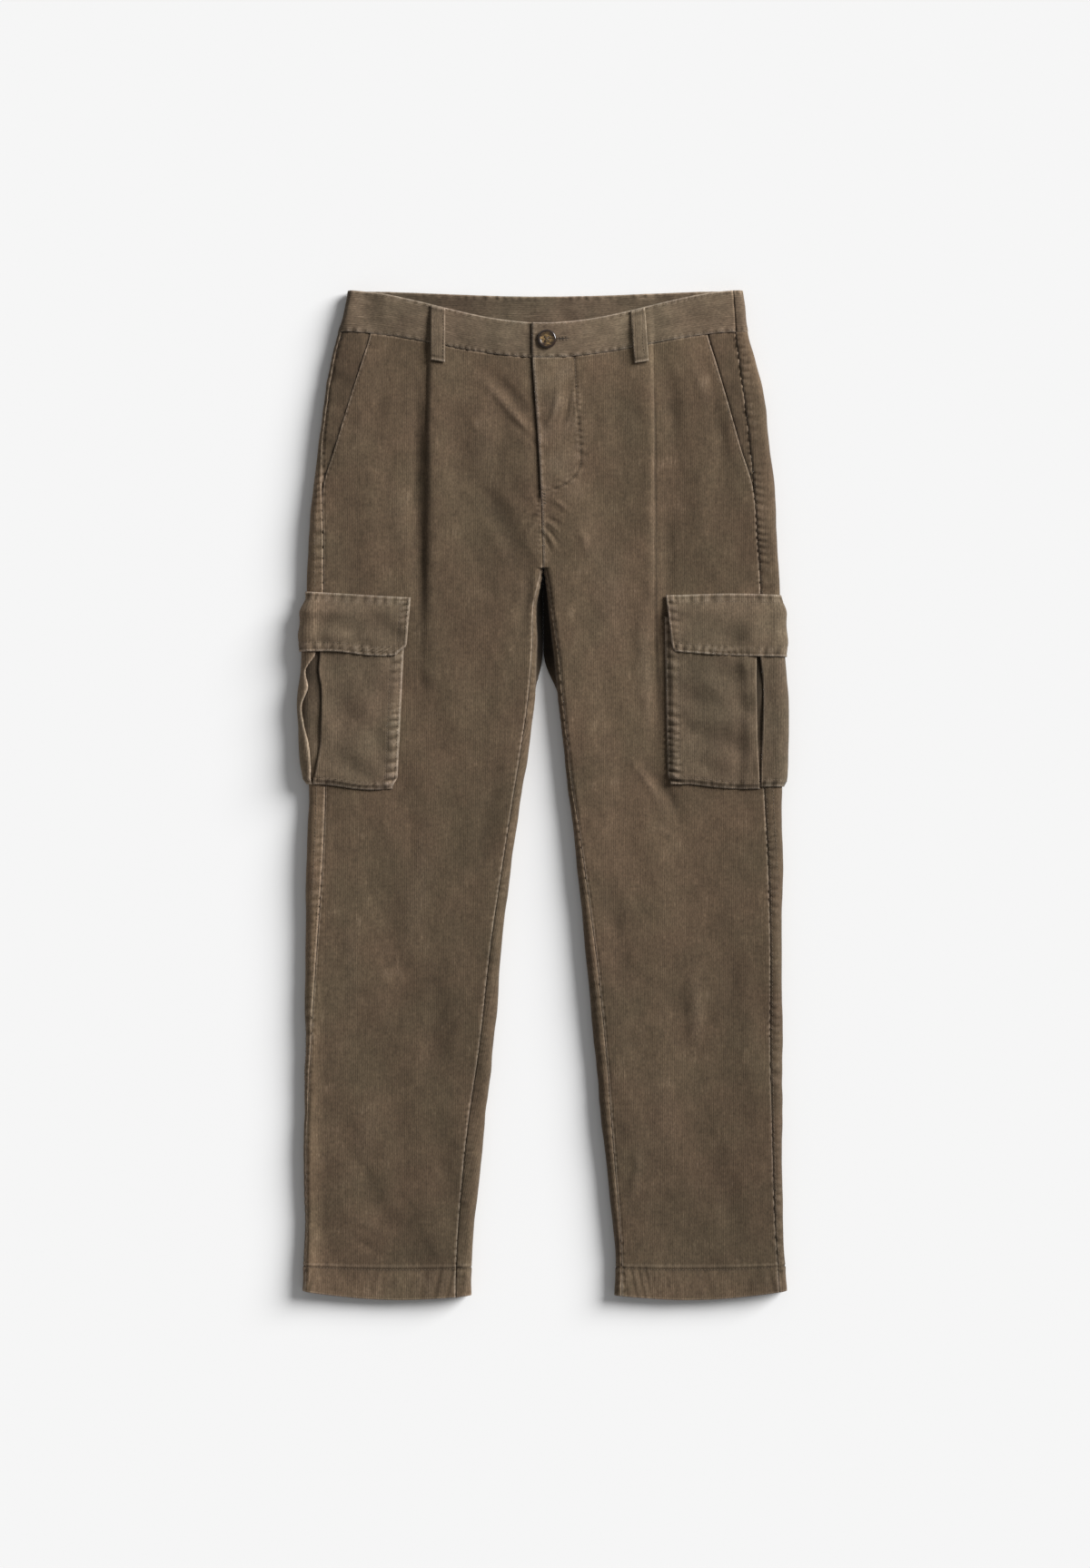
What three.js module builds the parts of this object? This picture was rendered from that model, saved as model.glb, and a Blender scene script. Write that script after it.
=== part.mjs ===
// Corduroy cargo trousers with one pleat a side, laid flat on their back, front up.
// Millimetres, X to the viewer's right, Y from the hems to the waist, Z up from the surface.
// The garment is a flattened tube. A place on it is given by a station (how far up the garment)
// and a walk (how far round the section from the tip of the outer fold: over the top when it is
// positive, under when it is negative). Every panel, pocket and band is a wall made from such places.
import * as THREE from 'three';

// Cloth and seams
const CLOTH = 1.6;
const BAND_CLOTH = 2.6;
const HEM_CLOTH = 2.8;
const SEAM_GAP = 0.3;

// Stations up the garment
const WAIST_TOP = 526.6;
const WAIST_SEAM = 483;
const CROTCH = 238;
const HEM_TOP = -493;
const HEM_EDGE = -522;

// How the laid garment rises and sags
const SAG = 1.6;
const BAND_LIFT = 0.5;
const CROTCH_CURL = 24;

// Outline and seams of each side, in distances from the centre line:
// outer and inner fold, side seam and inside leg seam
const LEFT = [
  { y: 526, outer: 204.0, inner: 0, seam: 201.0, inseam: 0, slash: 176 },
  { y: 504, outer: 208.0, inner: 0, seam: 205.0, inseam: 0, slash: 178 },
  { y: 480, outer: 214.5, inner: 0, seam: 211.5, inseam: 0, slash: 181 },
  { y: 456, outer: 220.5, inner: 0, seam: 217.5, inseam: 0, slash: 188 },
  { y: 409, outer: 229.0, inner: 0, seam: 225.5, inseam: 0, slash: 203 },
  { y: 361, outer: 234.0, inner: 0, seam: 230.0, inseam: 0, slash: 217.5 },
  { y: 320, outer: 240.5, inner: 0, seam: 230.5, inseam: 0, slash: 229.5 },
  { y: 266, outer: 245.0, inner: 0, seam: 229.0, inseam: 0, slash: 229 },
  { y: 238, outer: 246.0, inner: 0.3, seam: 229.0, inseam: 5.0, slash: 229 },
  { y: 219, outer: 246.5, inner: 2.8, seam: 229.0, inseam: 7.8, slash: 229 },
  { y: 195, outer: 246.5, inner: 7.0, seam: 229.0, inseam: 12.4, slash: 229 },
  { y: 148, outer: 247.5, inner: 6.0, seam: 229.0, inseam: 11.5, slash: 229 },
  { y: 100, outer: 251.0, inner: 8.5, seam: 228.0, inseam: 16.0, slash: 228 },
  { y: 52, outer: 250.0, inner: 14.2, seam: 227.5, inseam: 22.8, slash: 227.5 },
  { y: 5, outer: 244.5, inner: 21.8, seam: 227.0, inseam: 30.3, slash: 227 },
  { y: -66, outer: 247.0, inner: 32.3, seam: 229.5, inseam: 41.5, slash: 229.5 },
  { y: -161, outer: 248.0, inner: 43.7, seam: 236.0, inseam: 55.5, slash: 236 },
  { y: -256, outer: 248.0, inner: 51.3, seam: 242.0, inseam: 66.0, slash: 242 },
  { y: -351, outer: 249.5, inner: 61.8, seam: 246.5, inseam: 79.5, slash: 246.5 },
  { y: -446, outer: 249.0, inner: 71.2, seam: 247.0, inseam: 88.5, slash: 247 },
  { y: -493, outer: 250.0, inner: 75.0, seam: 248.0, inseam: 91.0, slash: 248 },
  { y: -522, outer: 251.0, inner: 75.0, seam: 249.0, inseam: 91.5, slash: 249 },
];
const RIGHT = [
  { y: 526, outer: 208.0, inner: 0, seam: 198.0, inseam: 0, slash: 166 },
  { y: 504, outer: 211.0, inner: 0, seam: 199.5, inseam: 0, slash: 168 },
  { y: 480, outer: 214.5, inner: 0, seam: 201.0, inseam: 0, slash: 172 },
  { y: 456, outer: 221.0, inner: 0, seam: 204.0, inseam: 0, slash: 179 },
  { y: 409, outer: 231.5, inner: 0, seam: 210.0, inseam: 0, slash: 192.5 },
  { y: 361, outer: 236.5, inner: 0, seam: 216.0, inseam: 0, slash: 206 },
  { y: 320, outer: 241.5, inner: 0, seam: 219.5, inseam: 0, slash: 218.5 },
  { y: 266, outer: 244.0, inner: 0, seam: 223.0, inseam: 0, slash: 223 },
  { y: 238, outer: 246.0, inner: 0.3, seam: 225.0, inseam: 5.0, slash: 225 },
  { y: 219, outer: 247.0, inner: 3.8, seam: 226.0, inseam: 8.8, slash: 226 },
  { y: 195, outer: 247.0, inner: 5.7, seam: 226.5, inseam: 10.7, slash: 226.5 },
  { y: 148, outer: 247.5, inner: 10.4, seam: 227.0, inseam: 15.4, slash: 227 },
  { y: 100, outer: 250.0, inner: 16.1, seam: 228.0, inseam: 20.6, slash: 228 },
  { y: 52, outer: 251.0, inner: 20.9, seam: 229.0, inseam: 25.4, slash: 229 },
  { y: 5, outer: 248.5, inner: 26.6, seam: 230.0, inseam: 31.0, slash: 230 },
  { y: -66, outer: 250.5, inner: 34.2, seam: 234.0, inseam: 41.5, slash: 234 },
  { y: -161, outer: 249.0, inner: 43.7, seam: 236.5, inseam: 54.5, slash: 236.5 },
  { y: -256, outer: 249.5, inner: 53.2, seam: 236.5, inseam: 64.5, slash: 236.5 },
  { y: -351, outer: 249.5, inner: 61.8, seam: 238.5, inseam: 72.0, slash: 238.5 },
  { y: -446, outer: 250.5, inner: 72.2, seam: 241.5, inseam: 79.5, slash: 241.5 },
  { y: -493, outer: 252.5, inner: 76.0, seam: 244.5, inseam: 82.0, slash: 244.5 },
  { y: -522, outer: 253.5, inner: 75.0, seam: 246.0, inseam: 82.0, slash: 246 },
];

// What both sides share: height of the flattened tube, how far the front and the back dip at the
// centre of the waist, and the pleat: its line, its height and how wide its step is
const SHARED = [
  { y: 526, loft: 14.0, frontDip: 34.0, backDip: 5.5, pleat: 115, pleatHeight: 0, step: 2.4 },
  { y: 483, loft: 15.5, frontDip: 27.0, backDip: 4.0, pleat: 116, pleatHeight: 2.6, step: 2.4 },
  { y: 440, loft: 17.0, frontDip: 15.0, backDip: 2.0, pleat: 117, pleatHeight: 2.8, step: 2.6 },
  { y: 380, loft: 18.0, frontDip: 3.0, backDip: 0, pleat: 118, pleatHeight: 2.8, step: 3.2 },
  { y: 330, loft: 18.0, frontDip: 0, backDip: 0, pleat: 118, pleatHeight: 2.5, step: 4.5 },
  { y: 238, loft: 18.0, frontDip: 0, backDip: 0, pleat: 119, pleatHeight: 1.5, step: 9.0 },
  { y: 200, loft: 18.0, frontDip: 0, backDip: 0, pleat: 119, pleatHeight: 1.0, step: 11.0 },
  { y: 0, loft: 18.5, frontDip: 0, backDip: 0, pleat: 128, pleatHeight: 0, step: 12.0 },
  { y: -300, loft: 17.0, frontDip: 0, backDip: 0, pleat: 148, pleatHeight: 0, step: 12.0 },
  { y: -522, loft: 15.5, frontDip: 0, backDip: 0, pleat: 162, pleatHeight: 0, step: 12.0 },
];

// Largest soft ridges (plus) and troughs (minus) of the front: side, middle, reach across and
// along, height and how far its line leans outwards for each millimetre up
const FOLDS = [
  { side: -1, from: 178, y: 330, across: 22, along: 120, height: 1.6, lean: 0.05 },
  { side: -1, from: 60, y: 300, across: 26, along: 110, height: -1.4, lean: 0.08 },
  { side: -1, from: 92, y: 120, across: 30, along: 150, height: 1.5, lean: -0.05 },
  { side: -1, from: 150, y: -160, across: 30, along: 170, height: -1.2, lean: -0.06 },
  { side: -1, from: 190, y: -430, across: 26, along: 90, height: 1.3, lean: 0.3 },
  { side: 1, from: 165, y: 320, across: 24, along: 120, height: 1.5, lean: 0.04 },
  { side: 1, from: 62, y: 260, across: 26, along: 130, height: -1.3, lean: 0.1 },
  { side: 1, from: 112, y: 130, across: 16, along: 70, height: -1.5, lean: 0 },
  { side: 1, from: 120, y: -90, across: 32, along: 160, height: 1.4, lean: -0.08 },
  { side: 1, from: 170, y: -330, across: 30, along: 140, height: -1.2, lean: -0.05 },
];

// Fly: the line where the right front closes over the left, in distances to the viewer's left
const FLY_LINE = [
  { y: 526, reach: 13.5 },
  { y: 456, reach: 10.5 },
  { y: 373, reach: 5.7 },
  { y: 316, reach: 2.9 },
  { y: 258, reach: 1.0 },
  { y: 200, reach: 0.0 },
];

// Cargo pockets: stations of flap and bag, and where their edges run from the centre line
const FLAP_TOP = 209;
const FLAP_EDGE = 147;
const BAG_TOP = 186;
const BAG_EDGE = 7;
const BAG_LIFT = 5.4;
const UNDER_LIFT = CLOTH + 0.7;
const UNDER_STACK = 2 * UNDER_LIFT;
const BAG_HALF = 90;
const FLAP_HALF = BAG_HALF + 4;
const POCKETS = {
  left: { flapTop: 137.8, flapCorner: 142.8, bagTop: 143.5, bagBottom: 152, pleat: 230.5, slit: 11 },
  right: { flapTop: 127.5, flapCorner: 134.5, bagTop: 126.5, bagBottom: 129.5, pleat: 222.5, slit: 5.5 },
};

// Belt loops and button
const LOOP_WIDTH = 15;
const LOOP_BELOW_SEAM = 21;
const LOOP_CLOTH = 1.5;
const LOOP_ARCH = 1.6;
const BUTTON_RADIUS = 10;
const BUTTON_THICK = 3.4;
const BUTTON_HOLE = 1.1;
const BUTTON_HOLE_REACH = 2;
const BUTTON_SHANK = 0.7;
const BUTTON_AT = { x: 3.8, station: 506 };

const corduroy = { color: 0x5e4f3f, roughness: 0.95, metalness: 0 };
const corduroyPocket = { color: 0x63543f, roughness: 0.95, metalness: 0 };
const horn = { color: 0x4a3420, roughness: 0.25, metalness: 0 };

const sides = {
  left: { name: 'left', sign: -1, table: LEFT, pocket: POCKETS.left, pleatShift: 2.5 },
  right: { name: 'right', sign: 1, table: RIGHT, pocket: POCKETS.right, pleatShift: -2.5 },
};

// Smooth curve through one column of a table whose rows run from the waist down
function along(table, column, y) {
  const last = table.length - 1;
  const inside = Math.min(Math.max(y, table[last].y), table[0].y);
  let row = 0;
  while (row < last - 1 && inside < table[row + 1].y) row += 1;
  const slope = (index) => {
    const before = table[Math.max(index - 1, 0)];
    const after = table[Math.min(index + 1, last)];
    return (after[column] - before[column]) / (before.y - after.y);
  };
  const span = table[row].y - table[row + 1].y;
  const t = (table[row].y - inside) / span;
  const from = table[row][column];
  const to = table[row + 1][column];
  const leave = slope(row) * span;
  const arrive = slope(row + 1) * span;
  const square = t * t;
  const cube = square * t;
  return (2 * cube - 3 * square + 1) * from + (cube - 2 * square + t) * leave
    + (3 * square - 2 * cube) * to + (cube - square) * arrive;
}

const mix = (from, to, t) => from + (to - from) * t;

// Distance of the pleat from the centre line: it lies a little differently on the two sides
const pleatAt = (side, station) => along(SHARED, 'pleat', station) + side.pleatShift;

function ease(from, to, value) {
  const t = Math.min(Math.max((value - from) / (to - from), 0), 1);
  return t * t * (3 - 2 * t);
}

const bell = (t) => (Math.abs(t) < 1 ? 0.5 + 0.5 * Math.cos(Math.PI * t) : 0);

// Height that the pleat and the soft folds add to the front. The pleat's fold faces the side seam:
// the cloth is highest there and falls away towards the centre.
function relief(side, station, reach) {
  const pleat = pleatAt(side, station);
  const height = Math.max(along(SHARED, 'pleatHeight', station), 0);
  const step = along(SHARED, 'step', station);
  const rise = 1 - ease(0, 40, pleat - reach);
  const drop = ease(step / 2, -step / 2, reach - pleat);
  let total = height * rise * drop;
  for (const fold of FOLDS) {
    if (fold.side === side.sign) {
      const middle = fold.from + fold.lean * (station - fold.y);
      total += fold.height * bell((reach - middle) / fold.across) * bell((station - fold.y) / fold.along);
    }
  }
  return total;
}

// How far the back is held off the surface by pockets, flaps and belt loops that lie under it
function baseLift(station, reach) {
  const flap = ease(FLAP_TOP + 22, FLAP_TOP + 3, station) * ease(FLAP_EDGE - 25, FLAP_EDGE - 4, station);
  const bag = ease(BAG_TOP + 10, BAG_TOP, station) * ease(BAG_EDGE - 24, BAG_EDGE - 3, station);
  const pocket = Math.max(flap * UNDER_STACK, bag * UNDER_LIFT) * ease(130, 165, reach);
  const loops = (LOOP_CLOTH + SEAM_GAP) * ease(WAIST_SEAM - 45, WAIST_SEAM - 23, station);
  return Math.max(pocket, loops);
}

// Walk round the section at which a place lies on the top, by its distance from the centre line
function walkAt(side, station, reach) {
  const outer = along(side.table, 'outer', station);
  const radius = along(SHARED, 'loft', station) / 2;
  const centre = outer - radius;
  if (reach < centre) return radius * Math.PI / 2 + centre - reach;
  return radius * Math.acos(Math.min((reach - centre) / radius, 1));
}

// Where the inner fold begins: nothing above the crotch, then a curl that closes into a round fold
function curl(station) {
  return 0.35 * ease(CROTCH + 4, CROTCH + 1, station) + 0.65 * ease(CROTCH + 1, CROTCH - 1.5, station);
}

// Place on the outer face of the tube, moved out by a lift
function place(side, station, walk, lift = 0) {
  const radius = along(SHARED, 'loft', station) / 2;
  const outer = along(side.table, 'outer', station);
  const inner = along(side.table, 'inner', station);
  const quarter = radius * Math.PI / 2;
  const onLeg = curl(station) >= 0.99;
  const flat = onLeg ? outer - inner - 2 * radius : outer - radius;
  const distance = Math.abs(walk);
  const up = walk < 0 ? -1 : 1;
  let reach;
  let rise;
  let outward;
  if (distance <= quarter) {
    const angle = distance / radius;
    reach = outer - radius + radius * Math.cos(angle);
    rise = up * radius * Math.sin(angle);
    outward = [Math.cos(angle), up * Math.sin(angle)];
  } else if (distance <= quarter + flat || !onLeg) {
    reach = outer - radius - (distance - quarter);
    rise = up * radius;
    outward = [0, up];
  } else {
    const angle = (distance - quarter - flat) / radius;
    reach = inner + radius - radius * Math.sin(angle);
    rise = up * radius * Math.cos(angle);
    outward = [-Math.sin(angle), up * Math.cos(angle)];
  }
  return finish(side, station, reach, radius + rise, outward, lift, radius);
}

// Adds base, folds, sag, waist dip and hem curve to a place of the section
function finish(side, station, reach, height, outward, lift, radius) {
  const outer = along(side.table, 'outer', station);
  const inner = along(side.table, 'inner', station);
  const share = (outer - reach) / (outer - inner);
  const front = ease(0.2, 1, height / (2 * radius));
  const sag = SAG * bell((share - 0.5) / 0.42);
  const base = baseLift(station, reach) * (1 - height / (2 * radius));
  const z = height + base + front * (relief(side, station, reach) - sag) + lift * outward[1];
  const dip = mix(along(SHARED, 'backDip', station), along(SHARED, 'frontDip', station), front);
  const hem = ease(HEM_TOP + 20, HEM_EDGE, station) * (4.5 * (1 - share) - 6.8 * Math.sin(Math.PI * share));
  const x = side.sign * (reach + lift * outward[0]);
  const y = station - dip * bell(reach / 215) + hem;
  return new THREE.Vector3(x, y, z);
}

// Place on the back past its flat: level above the crotch, curling up round the inner fold below it
function curlPlace(side, station, share, lift) {
  const radius = along(SHARED, 'loft', station) / 2;
  const inner = Math.max(along(side.table, 'inner', station), SEAM_GAP / 2);
  const inseam = along(side.table, 'inseam', station);
  const closing = curl(station);
  const onArc = Math.min(Math.max((inseam - inner) / radius, 0), 1);
  const overTop = Math.max(inseam - inner - radius, 0);
  const wrap = radius * (Math.PI / 2 + Math.acos(1 - onArc)) + overTop - (closing < 1 ? 0 : SEAM_GAP);
  const length = mix(CROTCH_CURL, wrap, closing);
  const bend = closing < 0.01 ? 1e5 : radius / closing;
  const turned = length / bend;
  const start = inner + (turned > Math.PI / 2 ? bend : bend * Math.sin(turned));
  const gone = share * length;
  const angle = Math.min(gone / bend, Math.PI);
  const past = Math.max(gone - Math.PI * bend, 0);
  const reach = start - bend * Math.sin(angle) + past;
  const height = Math.min(bend * (1 - Math.cos(angle)), 2 * radius);
  return finish(side, station, reach, height, [-Math.sin(angle), -Math.cos(angle)], lift, radius);
}

// Distance from the tip of the outer fold to where the curl begins, along the underside
function curlStart(side, station) {
  const radius = along(SHARED, 'loft', station) / 2;
  const outer = along(side.table, 'outer', station);
  const start = curlPlace(side, station, 0, 0);
  return radius * Math.PI / 2 + outer - radius - Math.abs(start.x);
}

// A closed wall: an outer grid of places, an inner grid one cloth deeper and a strip round the edge
function wall(name, stations, columns, placeAt, thickness, finishOf) {
  const positions = [];
  const across = columns.length;
  for (const depth of [0, 1]) {
    for (const station of stations) {
      const cloth = typeof thickness === 'function' ? thickness(station) : thickness;
      for (const column of columns) {
        const point = placeAt(station, column, -depth * cloth);
        positions.push(point.x, point.y, point.z);
      }
    }
  }
  const count = stations.length * across;
  const faces = [];
  const quad = (a, b, c, d) => faces.push([a, b, c], [a, c, d]);
  for (let row = 0; row < stations.length - 1; row += 1) {
    for (let column = 0; column < across - 1; column += 1) {
      const a = row * across + column;
      const corners = [a, a + across, a + across + 1, a + 1];
      quad(...corners);
      quad(...corners.map((corner) => corner + count).reverse());
    }
  }
  const rim = [];
  for (let column = 0; column < across - 1; column += 1) rim.push(column);
  for (let row = 0; row < stations.length - 1; row += 1) rim.push(row * across + across - 1);
  for (let column = across - 1; column > 0; column -= 1) rim.push((stations.length - 1) * across + column);
  for (let row = stations.length - 1; row > 0; row -= 1) rim.push(row * across);
  rim.forEach((a, index) => {
    const b = rim[(index + 1) % rim.length];
    quad(a, b, b + count, a + count);
  });
  return meshFrom(name, positions, faces, finishOf);
}

// Mesh whose faces point out, turned round where the grid ran the other way
function meshFrom(name, positions, faces, finishOf) {
  const corner = (index) => new THREE.Vector3().fromArray(positions, index * 3);
  let volume = 0;
  for (const [a, b, c] of faces) volume += corner(a).dot(corner(b).cross(corner(c)));
  const facing = volume > 0 ? faces : faces.map(([a, b, c]) => [a, c, b]);
  const geometry = new THREE.BufferGeometry();
  geometry.setAttribute('position', new THREE.Float32BufferAttribute(positions, 3));
  geometry.setIndex(facing.flat());
  geometry.computeVertexNormals();
  const mesh = new THREE.Mesh(geometry, new THREE.MeshStandardMaterial(finishOf));
  mesh.name = name;
  return mesh;
}

const spread = (from, to, count) => Array.from({ length: count + 1 }, (_, i) => mix(from, to, i / count));

// Stations of a body panel, closer together at the crotch and the hem. The pocket and its flap
// share the stations that they lie over, so that the layers follow each other.
const SLASH_STATIONS = [WAIST_SEAM - SEAM_GAP / 2, 464, 440, 410, 380, 350, 320];
const FLAP_STATIONS = [FLAP_TOP, 199, BAG_TOP, 172, 156, FLAP_EDGE];
const BAG_STATIONS = [...FLAP_STATIONS.slice(2), 128, 104, 80, 56, 32, BAG_EDGE + 4, BAG_EDGE];
const PANEL_STATIONS = [
  ...SLASH_STATIONS, 292, 264, CROTCH + 8, CROTCH + 4, CROTCH + 1, CROTCH - 1.5, 225,
  ...FLAP_STATIONS.slice(0, 2), ...BAG_STATIONS, -16, ...spread(-60, HEM_TOP, 9), HEM_EDGE,
];
const bodyCloth = (station) => (station < HEM_TOP + 1 ? HEM_CLOTH : CLOTH);

// Front: from the slash pocket or side seam, over the pleat, to the fly or the inside leg seam
const FRONT_OUTER = [0, 0.04, 0.1, 0.28, 0.6, 1];
const FRONT_INNER = [0, 0.38, 0.7, 0.88, 0.95, 1];
function frontEnd(side, station) {
  if (curl(station) >= 0.99) return along(side.table, 'inseam', station);
  return -side.sign * along(FLY_LINE, 'reach', station) + SEAM_GAP / 2;
}

function frontWalk(side, station, column) {
  const startWalk = walkAt(side, station, along(side.table, 'slash', station)) + SEAM_GAP / 2;
  const pleat = pleatAt(side, station);
  const step = along(SHARED, 'step', station);
  const endWalk = innerWalk(side, station, frontEnd(side, station));
  const foot = walkAt(side, station, pleat + step / 2);
  const crest = walkAt(side, station, pleat - step / 2);
  const last = FRONT_OUTER.length;
  if (column < last) return mix(startWalk, foot, FRONT_OUTER[column]);
  return mix(crest, endWalk, FRONT_INNER[column - last]);
}

// Walk to a place near the inner fold of a leg, or on the level front above the crotch
function innerWalk(side, station, reach) {
  const onLeg = curl(station) >= 0.99;
  const radius = along(SHARED, 'loft', station) / 2;
  const inner = along(side.table, 'inner', station);
  if (!onLeg || reach > inner + radius) return walkAt(side, station, reach);
  const outer = along(side.table, 'outer', station);
  const flat = outer - inner - 2 * radius;
  return radius * Math.PI / 2 + flat + radius * Math.asin((inner + radius - reach) / radius);
}

const FRONT_COLUMNS = [...FRONT_OUTER, ...FRONT_INNER].map((_, index) => index);
function front(side) {
  const placeAt = (station, column, lift) => place(side, station, frontWalk(side, station, column), lift);
  return wall(`front_${side.name}`, PANEL_STATIONS, FRONT_COLUMNS, placeAt, bodyCloth, corduroy);
}

// Back: from the side seam round the outer fold, under the garment, and up round the inner fold
const BACK_OUTER = [1, 0.5, 0, -0.5, -1];
const BACK_FLAT = [0.12, 0.27, 0.44, 0.62, 0.8];
const BACK_CURL = [0, 0.25, 0.5, 0.75, 1];
function backPlace(side, station, column, lift) {
  const radius = along(SHARED, 'loft', station) / 2;
  const quarter = radius * Math.PI / 2;
  const seam = walkAt(side, station, along(side.table, 'seam', station)) - SEAM_GAP / 2;
  if (column < BACK_OUTER.length) {
    const share = BACK_OUTER[column];
    return place(side, station, share > 0 ? share * seam : share * quarter, lift);
  }
  const flatColumn = column - BACK_OUTER.length;
  if (flatColumn < BACK_FLAT.length) {
    const end = curlStart(side, station);
    return placeLevel(side, station, mix(quarter, end, BACK_FLAT[flatColumn]), lift);
  }
  return curlPlace(side, station, BACK_CURL[flatColumn - BACK_FLAT.length], lift);
}

function placeLevel(side, station, walk, lift) {
  const radius = along(SHARED, 'loft', station) / 2;
  const outer = along(side.table, 'outer', station);
  const reach = outer - radius - (walk - radius * Math.PI / 2);
  return finish(side, station, reach, 0, [0, -1], lift, radius);
}

function back(side) {
  const columns = [...BACK_OUTER, ...BACK_FLAT, ...BACK_CURL].map((_, index) => index);
  const placeAt = (station, column, lift) => backPlace(side, station, column, lift);
  return wall(`back_${side.name}`, PANEL_STATIONS, columns, placeAt, bodyCloth, corduroy);
}

// Pocket facing: what shows between the slash opening and the side seam, one cloth lower
function facing(side) {
  const stations = [...SLASH_STATIONS.slice(0, -1), 330];
  const placeAt = (station, column, lift) => {
    const slash = walkAt(side, station, along(side.table, 'slash', station)) - SEAM_GAP / 2;
    const seam = walkAt(side, station, along(side.table, 'seam', station)) + SEAM_GAP / 2;
    return place(side, station, mix(seam, slash, column), lift - 0.7);
  };
  return wall(`pocket_facing_${side.name}`, stations, [0, 0.5, 1], placeAt, CLOTH, corduroy);
}

// Waistband: two fronts that meet at the button, and one back
const BAND_STATIONS = [WAIST_SEAM + SEAM_GAP / 2, mix(WAIST_SEAM, WAIST_TOP, 0.5), WAIST_TOP];
const BAND_CLOSE = 12;
function bandFront(side) {
  const ends = (station) => ({
    start: walkAt(side, station, along(side.table, 'seam', station)) + SEAM_GAP / 2,
    end: walkAt(side, station, -side.sign * BAND_CLOSE + SEAM_GAP / 2),
  });
  const seam = ends(WAIST_SEAM);
  const share = (walk) => (walk - seam.start) / (seam.end - seam.start);
  const overFront = FRONT_COLUMNS.slice(0, -1).map((column) => share(frontWalk(side, WAIST_SEAM, column)));
  const placeAt = (station, column, lift) => {
    const { start, end } = ends(station);
    return place(side, station, mix(start, end, column), lift + BAND_LIFT);
  };
  const columns = [0, overFront[0] / 2, ...overFront, 1];
  return wall(`waistband_front_${side.name}`, BAND_STATIONS, columns, placeAt, BAND_CLOTH, corduroy);
}

function bandBack() {
  const placeAt = (station, column, lift) => {
    const side = column < 0 ? sides.left : sides.right;
    const radius = along(SHARED, 'loft', station) / 2;
    const seam = walkAt(side, station, along(side.table, 'seam', station)) - SEAM_GAP / 2;
    const share = Math.abs(column);
    const quarter = radius * Math.PI / 2;
    if (share > 2) return place(side, station, (share - 2) * seam, lift);
    if (share > 1) return place(side, station, -(2 - share) * quarter, lift);
    const flat = along(side.table, 'outer', station) - radius;
    return placeLevel(side, station, quarter + (1 - share) * flat, lift);
  };
  const half = [0.25, 0.5, 0.75, 1, 1.5, 2.001, 2.5, 3];
  const columns = [...half.map((share) => -share).reverse(), 0, ...half];
  return wall('waistband_back', BAND_STATIONS, columns, placeAt, BAND_CLOTH, corduroy);
}

// Belt loop: a narrow strip sewn down above and below the band
function beltLoop(name, side, reach, topReach, under) {
  const bottom = WAIST_SEAM - LOOP_BELOW_SEAM;
  const stations = spread(bottom, WAIST_TOP - 1, 5);
  const placeAt = (station, column, lift) => {
    const height = (station - bottom) / (WAIST_TOP - 1 - bottom);
    const arch = under ? 0 : LOOP_ARCH * Math.sin(Math.PI * height);
    const seat = LOOP_CLOTH + (under ? SEAM_GAP : 2 * SEAM_GAP + BAND_LIFT) + arch + lift;
    const offset = mix(reach, topReach, height) + column * LOOP_WIDTH;
    if (!under) return place(side, station, walkAt(side, station, offset), seat);
    const radius = along(SHARED, 'loft', station) / 2;
    return finish(side, station, offset, 0, [0, -1], seat, radius);
  };
  return wall(name, stations, [-0.5, 0.5], placeAt, LOOP_CLOTH, corduroy);
}

// Pockets: lift of the bag over the leg, on top and at the outer fold, and close under the leg
function bagLift(side, station, walk) {
  const radius = along(SHARED, 'loft', station) / 2;
  return mix(BAG_LIFT, UNDER_LIFT, ease(0, -radius * Math.PI / 3, walk));
}

// Walk of a layer that goes round the outer fold: 0 to 1 before the fold's tip, 1 to 2 from the tip
// to the underside, 2 to 3 along the underside
function roundFold(side, station, from, length, column) {
  const quarter = along(SHARED, 'loft', station) / 2 * Math.PI / 2;
  if (column <= 1) return mix(from, 0, column);
  if (column <= 2) return mix(0, -quarter, column - 1);
  return mix(-quarter, from - length, column - 2);
}

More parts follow.
